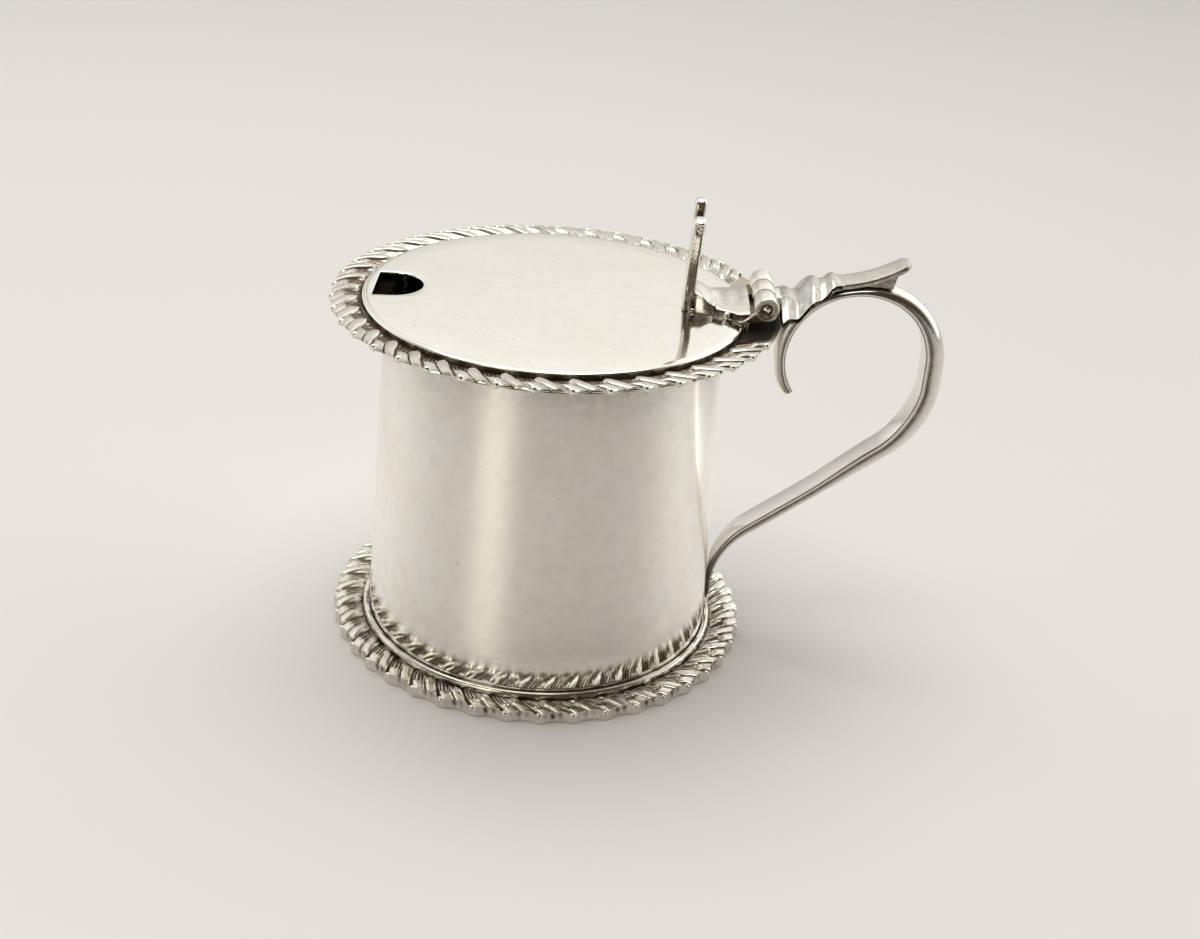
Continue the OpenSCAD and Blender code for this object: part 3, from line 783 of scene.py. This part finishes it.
def leaf_rings(xs, half, edge, crown, under, cove, dull, facet=None, droop=None):
    """Rings of a cast leaf: crowned top, rounded rim, hollow sides and a thin lip below.

    Between the two places of facet the sides are flat and slope; droop is how far the sides hang.
    """
    rings = []
    dark = []
    wide = 0.97
    across = np.linspace(wide, -wide, 19)
    side = [(0.0, 0.0), (0.02, 0.1), (0.6, 0.3), (1.0, 0.52), (0.8, 0.74), (0.25, 0.88), (0.1, 0.96)]
    for x in xs:
        w = half(x)
        middle = edge(x) + crown(x)
        hang = droop(x) if droop else 0
        lower = max(under(x) - hang, min(under(x), PLATE_TOP + 0.3))
        upper = max(edge(x) - hang, lower + 0.5)
        if droop:
            lower = max(lower, upper - 0.95)
        flat = facet and facet[0] < x < facet[1]
        slope = 1.6 * cove if flat else 0
        side_y = [w - (slope * up if flat else cove * into) for into, up in side]
        side_z = [lower + (upper - lower) * up for _, up in side]
        top_y = (w - slope) * across
        top_z = upper + (middle - upper) * (1 - np.abs(across / wide) ** (1.75 if droop else 2.4))
        seat = min(3.0, 0.8 * w)
        ys = side_y + top_y.tolist() + [-y for y in side_y[::-1]] + [-seat, seat]
        zs = side_z + top_z.tolist() + side_z[::-1] + [under(x), under(x)]
        rings.append([(x, y, z) for y, z in zip(ys, zs)])
        # Painted shade with tarnish: the hollow sides darken into the cove, and the seat beneath the leaf is
        # dark; on a drooping side the lower lip is dark as shade beneath it.
        dark_patches = 0.14 * sin(2.9 * x) + 0.1 * sin(5.3 * x + 1)
        side_t = [0.15, 0.6 + dark_patches, 0.9 + dark_patches, 0.95, 0.85 - dark_patches, 0.5 - dark_patches, 0.1]
        if droop:
            side_t[0] = 0.75
        if flat:
            rim = min(x - facet[0], facet[1] - x) < 0.25
            side_t = [1, 1, 1, 1, 1, 0.9, 0.4] if rim else [0.9, 0.45, 0.28, 0.24, 0.3, 0.6, 0.3]
        dark.append(side_t + [dull] * len(across) + side_t[::-1] + [0.9, 0.9])
    return rings, dark


def lid_leaf(look):
    """The leaf between thumbpiece and hinge: a flat facet beside the thumbpiece, and a bead on each side."""
    knots = [(-0.3, 3.1), (0.85, 2.8), (2.35, 1.75), (4.15, 1.4), (6.15, 1.3), (8.55, 1.7)]
    start = LID_LEAF_START
    edge = spline(knots, start, LID_TOP)
    wide = spline([(-0.3, 3.7), (1.65, 4.1), (4.15, 5.0), (6.45, 6.2), (8.55, 6.9)], start)

    def half(x):
        return wide(x) + 0.22 * abs(sin((x - start) * pi / 2.9))

    def crown(x):
        return 0.62 + 0.13 * cos((x - start) * 2 * pi / 2.7) + 0.09 * sin(1.3 * x)

    xs = np.linspace(start - 0.25, LID_LEAF_END, 60)
    facet = (start - 0.5, start + 3.05)
    rings, dark = leaf_rings(xs, half, edge, crown, lambda x: LID_TOP - 0.02, 0.35, 0.24, facet)
    shape = Shape().loft(rings, tarnish_and_shade=dark)
    bead_x = start + 4.95
    for side in (-1, 1):
        shape.ball((bead_x, side * (half(bead_x) + 0.15), LID_TOP + 0.6), 0.66)
    make_piece("lid_leaf_cast", shape, look, "lid", ["lid_leaf"])


def handle_leaf(look):
    """The leaf between hinge and spur, over the strap; its sides droop and its outline waves."""
    lowest = extent("handle_leaf")[0][2]
    start = HANDLE_LEAF_START
    knots = [(-0.2, 0.1), (0.8, 0.45), (2.7, 0.55), (4.1, 2.2), (5.2, 3), (6.6, 3.05), (8, 3.7), (10, 3.6)]
    edge = spline(knots, start, HINGE_Z)
    knots = [(-0.2, 8.7), (0.9, 7.7), (2.8, 6.9), (4.6, 6), (6.4, 4.7), (8, 3.4), (10, 2.6)]
    wide = spline(knots, start)
    knots = [(0, -0.1), (0.9, 0.1), (2.7, -0.5), (4.7, 0.9), (6.3, -0.6), (7.9, 0.8), (9.3, -0.3), (10, 0)]
    wave = spline(knots, start)
    knots = [(0, 1.6), (0.9, 1.4), (2.8, 1.3), (4.6, 1.4), (6.4, 1.3), (7.8, 0.5), (8.9, 0.1), (10.4, 0)]
    droop = spline(knots, start)
    knots = [(0, 0.6), (0.9, 0.7), (2.8, 0.5), (4.8, 0.55), (6.4, 0.4), (7.9, 0.5), (10, 0.12)]
    crown = spline(knots, start)

    def half(x):
        return wide(x) + 0.3 * wave(x)

    def under(x):
        reach = LOOP_R + SEAM + np.interp(x, [start + 5.8, HANDLE_LEAF_END], [2.5, 1.4])
        return max(lowest, LOOP_Z + sqrt(reach ** 2 - (x - LOOP_X) ** 2))

    def thick_edge(x):
        return max(edge(x) + 0.26 * wave(x), under(x) + 0.7)

    xs = np.linspace(start, HANDLE_LEAF_END + 0.3, 72)
    rings, dark = leaf_rings(xs, half, thick_edge, crown, under, 0.4, 0.38, droop=droop)
    make_piece("handle_leaf_cast", Shape().loft(rings, tarnish_and_shade=dark), look, "pot", ["handle_leaf"])


def thumb_outline(height):
    """The thumbpiece's outline as (y, z), and the knots of its right side."""
    drawn_height = 16.55
    notch_r = 3.7
    notch_z = height - 1.4
    right = [
        (3.4, 0.0), (3.25, 0.7), (3.0, 1.9), (2.9, 3.5), (3.1, 5.4), (3.7, 8.0), (4.7, 10.8), (5.6, 13.0),
        (6.3, 14.6), (6.62, 15.4), (6.73, 15.72), (6.68, 15.93), (6.5, 16.1), (6.0, 16.34), (5.3, 16.52),
        (4.6, 16.5), (4.05, 16.2), (notch_r, 15.5),
    ]
    knots = np.array(right) * [1, height / drawn_height]
    run = np.concatenate([[0], np.cumsum(np.hypot(*np.diff(knots, axis=0).T))])
    along = np.linspace(0, run[-1], 110)
    side_y = spline(list(zip(run, knots[:, 0])))(along)
    side_z = spline(list(zip(run, knots[:, 1])))(along)
    points = list(zip(side_y, side_z))
    for angle in np.linspace(-8, -90, 16):
        points.append((notch_r * 0.95 * ahead(angle)[0], notch_z + notch_r * ahead(angle)[1]))
    return np.array(points + [(-y, z) for y, z in points[::-1]][1:]), knots


def thumb(look):
    """Upright plate with two scrolled ears, leaning and turned a little as on the real lid."""
    x0 = LID_LEAF_START - 1.15
    height = extent("thumbpiece")[1][2] - LID_TOP
    outline, knots = thumb_outline(height)
    half_thick = 0.95
    lean = tan(radians(2.4))
    yaw = radians(3.0)

    def place(y, z, across):
        x = across + lean * z
        turned_x = x0 + x * cos(yaw) + y * sin(yaw)
        return turned_x, y * cos(yaw) - x * sin(yaw), LID_TOP - 0.03 + z

    shape = Shape().slab(outline, -half_thick, half_thick, 0.62, place, steps=5)
    for side in (-1, 1):
        for across, drop, radius in ((0.25, 1.55, 0.26), (-0.1, 1.8, 0.24), (0.2, 2.1, 0.26)):
            shape.ball(place(side * 6.55, height - drop, across), radius)
    heights = np.array(shape.points)[:, 2] - LID_TOP
    levels = np.zeros(len(heights))
    size = len(outline)
    for level, share in ((4, 0.15), (5, 0.6), (6, 1.0), (7, 1.0), (8, 0.6), (9, 0.15)):
        levels[level * size:(level + 1) * size] = share
    # Painted reflection: a brown band round the plate's edge, browner from mid-height to just below the ears,
    # where the real edge mirrors the dark room in front; and painted shade at its foot on the lid.
    brown = [(0, 0.5), (2, 0.1), (3.8, 0.15), (6, 0.62), (13.3, 0.66), (14.7, 1.4), (15.3, 0.3), (15.6, 0)]
    dark = 0.65 * levels * spline(brown)(heights) + 0.5 * np.exp(-heights / 0.3)
    shape.tarnish_and_shade = dark.tolist()
    for side in (-1, 1):
        for across, radius, top in ((-0.5, 0.34, 4.6), (0.3, 0.42, 5.4)):
            rise = np.linspace(0.15, top, 14)
            half = np.interp(rise, knots[:6, 1], knots[:6, 0]) - 0.12
            path = [place(side * y, z, across) for y, z in zip(half, rise)]
            shape.rod(path, radius * (1 - smooth(rise / top) * 0.85), 0.6)
        hook = [(3.2, 0.35, 0.2), (3.35, 0.25, 0.8), (3.2, 0.3, 1.3), (2.9, 0.5, 1.6)]
        shape.rod([place(side * y, z, across) for y, z, across in hook], [0.34, 0.36, 0.34, 0.2], 0.25)
    make_piece("thumb_plate", shape, look, "lid", ["thumbpiece"])


def from_hinge(points):
    """An outline of (x, z) written from the hinge's axis."""
    return np.array(points) + [HINGE_X, HINGE_Z]


def along_y(x, z, y):
    """Places a slab's outline in the plane of X and Z."""
    return x, y, z


def lid_knuckle(name, side, node, look):
    """Outer knuckle with a recessed end, and the web that joins it to the lid's leaf."""
    r = KNUCKLE_R
    inner = KNUCKLE_START
    outer = HINGE_HALF
    profile = [
        (BORE_R, inner), (r - 0.16, inner), (r - 0.04, inner + 0.05), (r, inner + 0.18),
        (r, (inner + outer) / 2), (r, outer - 0.35), (r - 0.03, outer - 0.14), (r - 0.12, outer - 0.03),
        (r - 0.22, outer), (r - 0.45, outer), (r - 0.54, outer - 0.04), (r - 0.56, outer - 0.45),
        (BORE_R, outer - 0.45),
    ]
    dark = [0.9, 0.9, 0.6, 0.1, 0, 0, 0.1, 0.3, 0.55, 0.6, 0.5, 0.6, 0.65]
    shape = Shape().lathe([(radius, side * y) for radius, y in profile], HINGE_STEPS, dark, hinge=True)
    web = LID_LEAF_END - 0.3 - HINGE_X
    foot = LID_TOP + 0.1 - HINGE_Z
    outline = from_hinge([
        (web, foot), (-0.8, foot), (0.3, -2.1), (0.9, -1.4), (0.2, -0.5), (-1.1, -0.4), (-1.8, -0.8),
        (web, -0.9),
    ])
    near, far = sorted((side * (inner + 0.1), side * (outer - 0.15)))
    # Painted shade: the web under the knuckle is fully darkened.
    shape.slab(outline, near, far, 0.2, along_y, 1.0)
    lip = [(-1.0, outer - 0.1, 0.3), (-0.4, outer, 0.7), (0.3, outer, 1.3), (1.0, outer - 0.1, 1.9)]
    path = [(LID_LEAF_END + x, side * y, LID_TOP + z) for x, y, z in lip]
    shape.rod(path, [0.2, 0.28, 0.28, 0.2])
    make_piece(name, shape, look, "lid", [node])


def middle_knuckle(look):
    """Middle knuckle, and the web that joins it to the handle's leaf."""
    r = KNUCKLE_R
    half = MIDDLE_HALF
    profile = [(BORE_R, -half), (r - 0.16, -half), (r - 0.04, 0.05 - half), (r, 0.2 - half), (r, 0)]
    dark = [0.9, 0.9, 0.6, 0.1, 0]
    profile += [(radius, -y) for radius, y in profile[-2::-1]]
    dark += dark[-2::-1]
    shape = Shape().lathe(profile, HINGE_STEPS, dark, hinge=True)
    end = HANDLE_LEAF_START + 0.3 - HINGE_X
    web = [(0.6, -1.7), (1.6, -1.9), (end, -1.9), (end, 0.6), (1.7, 0.65), (0.9, 0.9), (0.4, -0.3)]
    shape.slab(from_hinge(web), -half + 0.12, half - 0.12, 0.15, along_y, 0.1)
    make_piece("middle_knuckle", shape, look, "pot", ["handle_knuckle"])


def pin(look):
    """Hinge pin with domed ends."""
    straight = PIN_HALF - PIN_R
    profile = [(0.01, -PIN_HALF)]
    for bend in np.linspace(80, 0, 9):
        profile.append((PIN_R * ahead(bend)[0], -straight - PIN_R * ahead(bend)[1]))
    profile += [(radius, -y) for radius, y in profile[::-1]]
    # Painted shade: darker round the dome's foot and along the shaft, inside the knuckle's recess.
    dark = [0.05 + 0.55 * (radius > PIN_R * 0.85) for radius, _ in profile]
    shape = Shape().lathe(profile + [(0.005, 0)], 48, dark + [0], hinge=True)
    make_piece("pin", shape, look, "pot", ["hinge_pin"])


# ---- handle

LOOP_R = 11.6
LOOP_X = HANDLE_LEAF_START + 13.6
LOOP_Z = HINGE_Z - 9.7
HOOK_ANGLE = 214
DROP = 4.2
BEND_R = 14.6
RUN_ANGLE = 52
TAIL_BEND_R = 15
TAIL_Z = extent("handle_strap")[0][2]
TAIL_W = 3.12
TAIL_DEPTH = 0.9
BEND_DEPTH = 3.1
RUN_DEPTH = 2.3
LOOP_DEPTH = spline([
    (0, BEND_DEPTH), (50, 2.4), (75, 1.8), (90, 1.45), (110, 1.4), (128, 2.4), (145, 2.55), (160, 2.4),
    (185, 1.75), (208, 1.75), (HOOK_ANGLE, 1.45),
])


def strap_stations():
    """Stations of the strap's flat inner face: x, z, heading, depth and width, from the hook to the tail."""
    width = spline([(0, STRAP_W), (150, STRAP_W), (170, 4.9), (195, 4.0), (210, 3.3), (HOOK_ANGLE, 2.6)])
    stations = []
    loop_fill = spline([(0, 0.35), (20, 0.25), (45, 0.05), (60, 0)])
    bend_fill = spline([(0, 0.35), (0.5, 0.9), (1, 0.75)])
    for angle in np.linspace(HOOK_ANGLE, 0, 108):
        fill = loop_fill(angle)
        x, z = (LOOP_R - fill) * ahead(angle)
        stations.append((LOOP_X + x, LOOP_Z + z, angle - 90, LOOP_DEPTH(angle) + fill, width(angle)))
    bend_x = LOOP_X + LOOP_R - BEND_R
    bend_z = LOOP_Z - DROP
    for share in np.linspace(0, 1, 26):
        fill = bend_fill(share)
        x, z = (BEND_R - fill) * ahead(-RUN_ANGLE * share)
        depth = BEND_DEPTH + (RUN_DEPTH - BEND_DEPTH) * share + fill
        stations.append((bend_x + x, bend_z + z, -90 - RUN_ANGLE * share, depth, STRAP_W))
    run_heading = -90 - RUN_ANGLE
    wall_angle = degrees(atan(DRUM_TAPER / (DRUM_TOP - BASE_TOP)))
    tail_heading = -90 + wall_angle
    run_start = np.array([bend_x, bend_z]) + BEND_R * outward(run_heading)
    wall_foot = np.array([DRUM_BOTTOM_R + BASE_TOP * tan(radians(wall_angle)) + SEAM, 0])
    to_wall = wall_foot - run_start + TAIL_BEND_R * (outward(tail_heading) - outward(run_heading))
    goal = ahead(tail_heading)
    way = ahead(run_heading)
    run_l = (to_wall[0] * goal[1] - to_wall[1] * goal[0]) / (way[0] * goal[1] - way[1] * goal[0])
    for share in np.linspace(0, 1, 20)[1:-1]:
        fill = bend_fill(1) * (1 - smooth(share / 0.6))
        place = run_start + run_l * share * way - fill * outward(run_heading)
        stations.append((*place, run_heading, RUN_DEPTH + fill, STRAP_W))
    centre = run_start + run_l * way + TAIL_BEND_R * outward(run_heading)
    for share in np.linspace(0, 1, 28):
        heading = run_heading + (tail_heading - run_heading) * share
        place = centre - TAIL_BEND_R * outward(heading)
        depth = RUN_DEPTH + (TAIL_DEPTH - RUN_DEPTH) * share
        stations.append((*place, heading, depth, STRAP_W - (STRAP_W - TAIL_W) * share ** 2))
    first = np.array(stations[-1][:2])
    last = wall_foot + TAIL_Z / sin(radians(tail_heading)) * goal
    for share in np.linspace(0, 1, 10)[1:]:
        place = first + (last - first) * share
        thin = 1 - 0.6 * step(share, 0.6, 0.4)
        stations.append((*place, tail_heading, TAIL_DEPTH * thin, TAIL_W * (1 - 0.25 * share)))
    return stations


def strap(look):
    """Scroll handle: flat inside with soft arrises, full and rounded outside."""
    rings = []
    dark = []
    # Painted reflection: dark lines flank the bright arris between the inner face and the near side, and a
    # brown band runs down the near side, where the real strap mirrors the dark room in front.
    line = [0.1, 0.95, 0.7, 0.42, 0.3, 0.2, 0.08] + [0] * 7
    line = line + [0] + line[::-1] + [0.9, 0.5, 0.1, 0, 0, 0.1, 0.5, 0.9]
    tail_x = DRUM_BOTTOM_R + 6
    tail_top = 22
    for x, z, heading, depth, width in strap_stations():
        out = outward(heading)
        soft = min(0.32, 0.3 * depth)
        half = width / 2
        section = []
        for angle in np.linspace(0, 84, 14):
            across, up = ahead(angle) ** 0.77
            section.append((half * across, soft + (depth - soft) * up))
        outside = [(-across, deep) for across, deep in section] + [(0, depth)] + section[::-1]
        inside = [(half - soft * (1 - ahead(a)[0]), soft * (1 - ahead(a)[1])) for a in (25, 50, 75, 90)]
        outside += inside + [(-across, deep) for across, deep in inside[::-1]]
        rings.append([(x + deep * out[0], across, z + deep * out[1]) for across, deep in outside])
        # Painted shade on the tail, darker lower down where it runs close to the drum.
        low = smooth((tail_top - z) / 14) if x < tail_x else 0
        dark.append([max(0.6 * low, 0.8 * share) for share in line])
    shape = Shape().loft(rings, tarnish_and_shade=dark)
    make_piece("strap", shape, look, "pot", ["handle_strap"], crease=60)


def spur(look):
    """Tongue that rises clear of the strap, with a rounded end and soft edges."""
    low, high = extent("handle_spur")
    bend_r = 24
    start = 8
    thick = 0.85
    tip_share = 0.18
    least_half = 0.25
    first = ahead(start)
    right = [(0.995, 0.15), (1, 0.45), (0.985, 0.8), (0.95, 0.95), (0.86, 1.02), (0.6, 1.09), (0.3, 1.13)]
    left = [(-across, up) for across, up in right[::-1]]
    section = [(-0.96, 0), (-0.5, 0), (0, 0), (0.5, 0), (0.96, 0)] + right + [(0, 1.14)] + left

    def under(angle):
        """Height of the tongue's lower face where it has turned to an angle."""
        return low[2] + bend_r * (first[0] - cos(angle))

    end = degrees(asin(first[1] + (high[0] - low[0]) / bend_r))
    rings = []
    shares = 1 - (1 - np.linspace(0, 1, 44)) ** 1.6
    for share in shares:
        angle = radians(start + (end - start) * share)
        x = low[0] + bend_r * (sin(angle) - first[1])
        z = under(angle)
        tip = min(max(0, (share - 1 + tip_share) / tip_share), 1)
        half = max(STRAP_W / 2 * (1 - tip ** 2.6) ** 0.42, least_half)
        deep = thick * (1 - 0.35 * tip ** 3)
        back = deep * sin(angle)
        rise = deep * cos(angle)
        rings.append([(x - back * up, half * across, z + rise * up) for across, up in section])
    # Painted shade on the tongue's underside and lower sides, and on the gusset beneath it.
    ring_t = [0.6] * 5 + [0.55, 0.5, 0.35] + [0.32] * 9 + [0.35, 0.5, 0.55]
    shape = Shape().loft(rings, tarnish_and_shade=[ring_t] * len(rings))
    upper = []
    lower = []
    for x in np.linspace(low[0] + 2.2, high[0] - 2.7, 18):
        loop_angle = degrees(acos((x - LOOP_X) / (LOOP_R + 1.8)))
        reach = LOOP_R + LOOP_DEPTH(loop_angle) + SEAM
        upper.append((x, under(asin(first[1] + (x - low[0]) / bend_r)) + 0.2))
        lower.append((x, LOOP_Z + sqrt(reach ** 2 - (x - LOOP_X) ** 2)))
    upper[-1] = (upper[-1][0] + 0.6, upper[-1][1] + 0.3)
    gusset = np.array(lower + upper[::-1])
    gusset_half = STRAP_W / 2 - 0.4
    shape.slab(gusset, -gusset_half, gusset_half, 0.08, along_y, 0.62)
    make_piece("spur", shape, look, "pot", ["handle_spur"])


# ---- stage, light and camera

def stage(look):
    """A plain floor just below the foot."""
    half = 4.0
    level = -0.02 * MM
    mesh = bpy.data.meshes.new("floor")
    corners = [(x * half, y * half, level) for x, y in ((-1, -1), (1, -1), (1, 1), (-1, 1))]
    mesh.from_pydata(corners, [], [(0, 1, 2, 3)])
    mesh.materials.append(look)
    floor = bpy.data.objects.new("floor", mesh)
    bpy.context.scene.collection.objects.link(floor)


def facing(tree, way, side):
    """How far a direction in the room points to one side of it."""
    side = tuple(Vector(side).normalized())
    return put(tree, "VectorMath", {0: way, 1: side}, operation="DOT_PRODUCT").outputs["Value"]


def world():
    """Pale room: brown-grey in front above table height, white behind and overhead, bright at the sides."""
    made = bpy.data.worlds.new("room")
    bpy.context.scene.world = made
    made.use_nodes = True
    tree = made.node_tree
    tree.nodes.clear()
    way = put(tree, "TexCoord").outputs["Generated"]
    colour = (0.58, 0.57, 0.54, 1)
    for side, start, end, shade in (
        ((0.0, 0.7, 0.7), 0.77, 0.975, (1.08, 1.065, 1.02, 1)),
        ((0.88, 0.45, 0.1), 0.45, 1.0, (1.75, 1.72, 1.67, 1)),
        ((-0.85, 0.5, 0.1), 0.75, 0.97, (1.3, 1.29, 1.26, 1)),
        ((0.1, -0.89, 0.42), 0.05, 0.7, (0.09, 0.065, 0.034, 1)),
    ):
        colour = mix(tree, ramp(tree, facing(tree, way, side), start, end), colour, shade)
    background = put(tree, "Background", {"Color": colour, "Strength": 0.95})
    put(tree, "OutputWorld", {"Surface": background.outputs[0]})


def area_lamp(name, place, aim, size, power, colour):
    """A rectangular lamp; places and sizes in metres."""
    lamp = bpy.data.lights.new(name, "AREA")
    lamp.shape = "RECTANGLE"
    lamp.size, lamp.size_y = size
    lamp.energy = power
    lamp.color = colour
    held = bpy.data.objects.new(name, lamp)
    bpy.context.scene.collection.objects.link(held)
    held.location = place
    held.rotation_euler = (Vector(aim) - Vector(place)).to_track_quat("-Z", "Y").to_euler()


def lamps():
    """A large soft lamp overhead and a weak upright window in front, to the left."""
    white = (1.0, 0.98, 0.94)
    warm = (1.0, 0.95, 0.82)
    area_lamp("overhead", (-0.12, 0.05, 0.95), aim=(0, 0, 0.03), size=(0.9, 0.9), power=6.8, colour=white)
    area_lamp("window", (-0.30, -0.52, 0.16), aim=(0, 0, 0.04), size=(0.2, 0.34), power=0.5, colour=warm)


# Camera: focal length and centre in the picture's pixels, place in millimetres
PHOTO_W = 1200
PHOTO_H = 939
FOCAL = 1620.696
PHOTO_CENTRE = (557.14, 458.41)
EYE = (4.8724, -250.1215, 155.158)
EYE_TURN = 0.6492
EYE_TILT = 26.6045
EYE_ROLL = 3.7974


def camera():
    """The camera that was fitted to the photo."""
    data = bpy.data.cameras.new("camera")
    data.sensor_width = 36
    data.lens = FOCAL / PHOTO_W * data.sensor_width
    data.shift_x = (PHOTO_W / 2 - PHOTO_CENTRE[0]) / PHOTO_W
    data.shift_y = (PHOTO_CENTRE[1] - PHOTO_H / 2) / PHOTO_W
    data.clip_start = 0.01
    eye = bpy.data.objects.new("camera", data)
    bpy.context.scene.collection.objects.link(eye)
    placed = Matrix.Translation(Vector(EYE) * MM)
    for angle, axis in ((EYE_TURN, "Z"), (90 - EYE_TILT, "X"), (EYE_ROLL, "Z")):
        placed = placed @ Matrix.Rotation(radians(angle), 4, axis)
    eye.matrix_world = placed
    bpy.context.scene.camera = eye
    bpy.context.scene.view_settings.view_transform = "Standard"


def repaint(node, look):
    """Gives a CAD node that stays in view a better material."""
    mesh = frame["nodes"][node].data
    for index in range(len(mesh.materials)):
        mesh.materials[index] = look


def build():
    """Every look, then every piece from the foot up."""
    pale = (0.80, 0.77, 0.70)
    drum_silver = silver_look(
        "drum_silver", 0.40, 0.05, 0.006, grain=(0.05, 0.05, 1.6), turned=0.85, low=(4.0, 9.5, 0.04),
        pitted=0.725, mottle=0.16)
    lid_silver = silver_look("lid_silver", 0.07, 0.05, 0.004, pitted=0.69, mottle=0.1)
    cast_silver = silver_look(
        "cast_silver", 0.16, 0.08, 0.02, clean=(0.80, 0.78, 0.73), pitted=0.66, mottle=0.4)
    strap_silver = silver_look(
        "strap_silver", 0.10, 0.06, 0.01, clean=(0.79, 0.77, 0.73), mottle=0.2, patch=0.98)
    hinge_silver = silver_look(
        "hinge_silver", 0.16, 0.08, 0.014, clean=(0.9, 0.87, 0.80), stain_and_shade_colour=(0.16, 0.135, 0.075))
    border_silver = silver_look(
        "border_silver", 0.16, 0.06, 0.012, clean=(0.79, 0.765, 0.70), stain_and_shade_colour=(0.088, 0.053, 0.022), mottle=0.4)
    inner_silver = silver_look("inner_silver", 0.24, clean=pale)
    # A warm brown, shaded copy of silver for the lid's side wall: painted shade and reflection.
    shaded_side_silver = silver_look("shaded_side_silver", 0.2, clean=(0.72, 0.66, 0.54), stain_and_shade_colour=(0.085, 0.06, 0.034))
    # A shaded copy of silver, nearly black where the mesh darkens it, for the flange.
    shade_silver = silver_look(
        "shade_silver", 0.3, clean=pale, stain_and_shade_colour=(0.012, 0.010, 0.008), patch=1.0, tint=0.25)
    # A darker, shaded copy of silver for the plate under the hinge.
    shaded_land_silver = silver_look(
        "shaded_land_silver", 0.3, clean=(0.5, 0.45, 0.36), stain_and_shade_colour=(0.03, 0.024, 0.017), patch=0.95)
    for node in ("base_plate", "lid_bezel"):
        repaint(node, inner_silver)
    drum(drum_silver)
    foot_band(border_silver)
    foot_heights = (1.15, FOOT_TOP, 1.7)
    gadroon("foot_gadroon", BASE_R + SEAM, FOOT_R, 0, foot_heights, (0, 0), FOOT_PHASE, REPEATS, FOOT_STYLE,
            border_silver, ["foot_border"])
    rim_heights = (0.4, extent("rim_border")[1][2] - FLANGE_TOP, 0.72)
    gadroon("rim_gadroon", RIM_INNER_R, RIM_R, FLANGE_TOP, rim_heights, (0, 0.5), RIM_END_ANGLE, RIM_REPEATS,
            RIM_STYLE, border_silver, ["rim_border"])
    hinge_land(shaded_land_silver)
    flange(shade_silver)
    liner(glass_look())
    lid_top(lid_silver)
    lid_side(shaded_side_silver)
    lid_leaf(cast_silver)
    thumb(cast_silver)
    lid_knuckle("knuckle_near", -1, "lid_knuckle_near", hinge_silver)
    lid_knuckle("knuckle_far", 1, "lid_knuckle_far", hinge_silver)
    middle_knuckle(hinge_silver)
    pin(hinge_silver)
    handle_leaf(cast_silver)
    spur(cast_silver)
    strap(strap_silver)


build()
stage(floor_look())
world()
lamps()
camera()
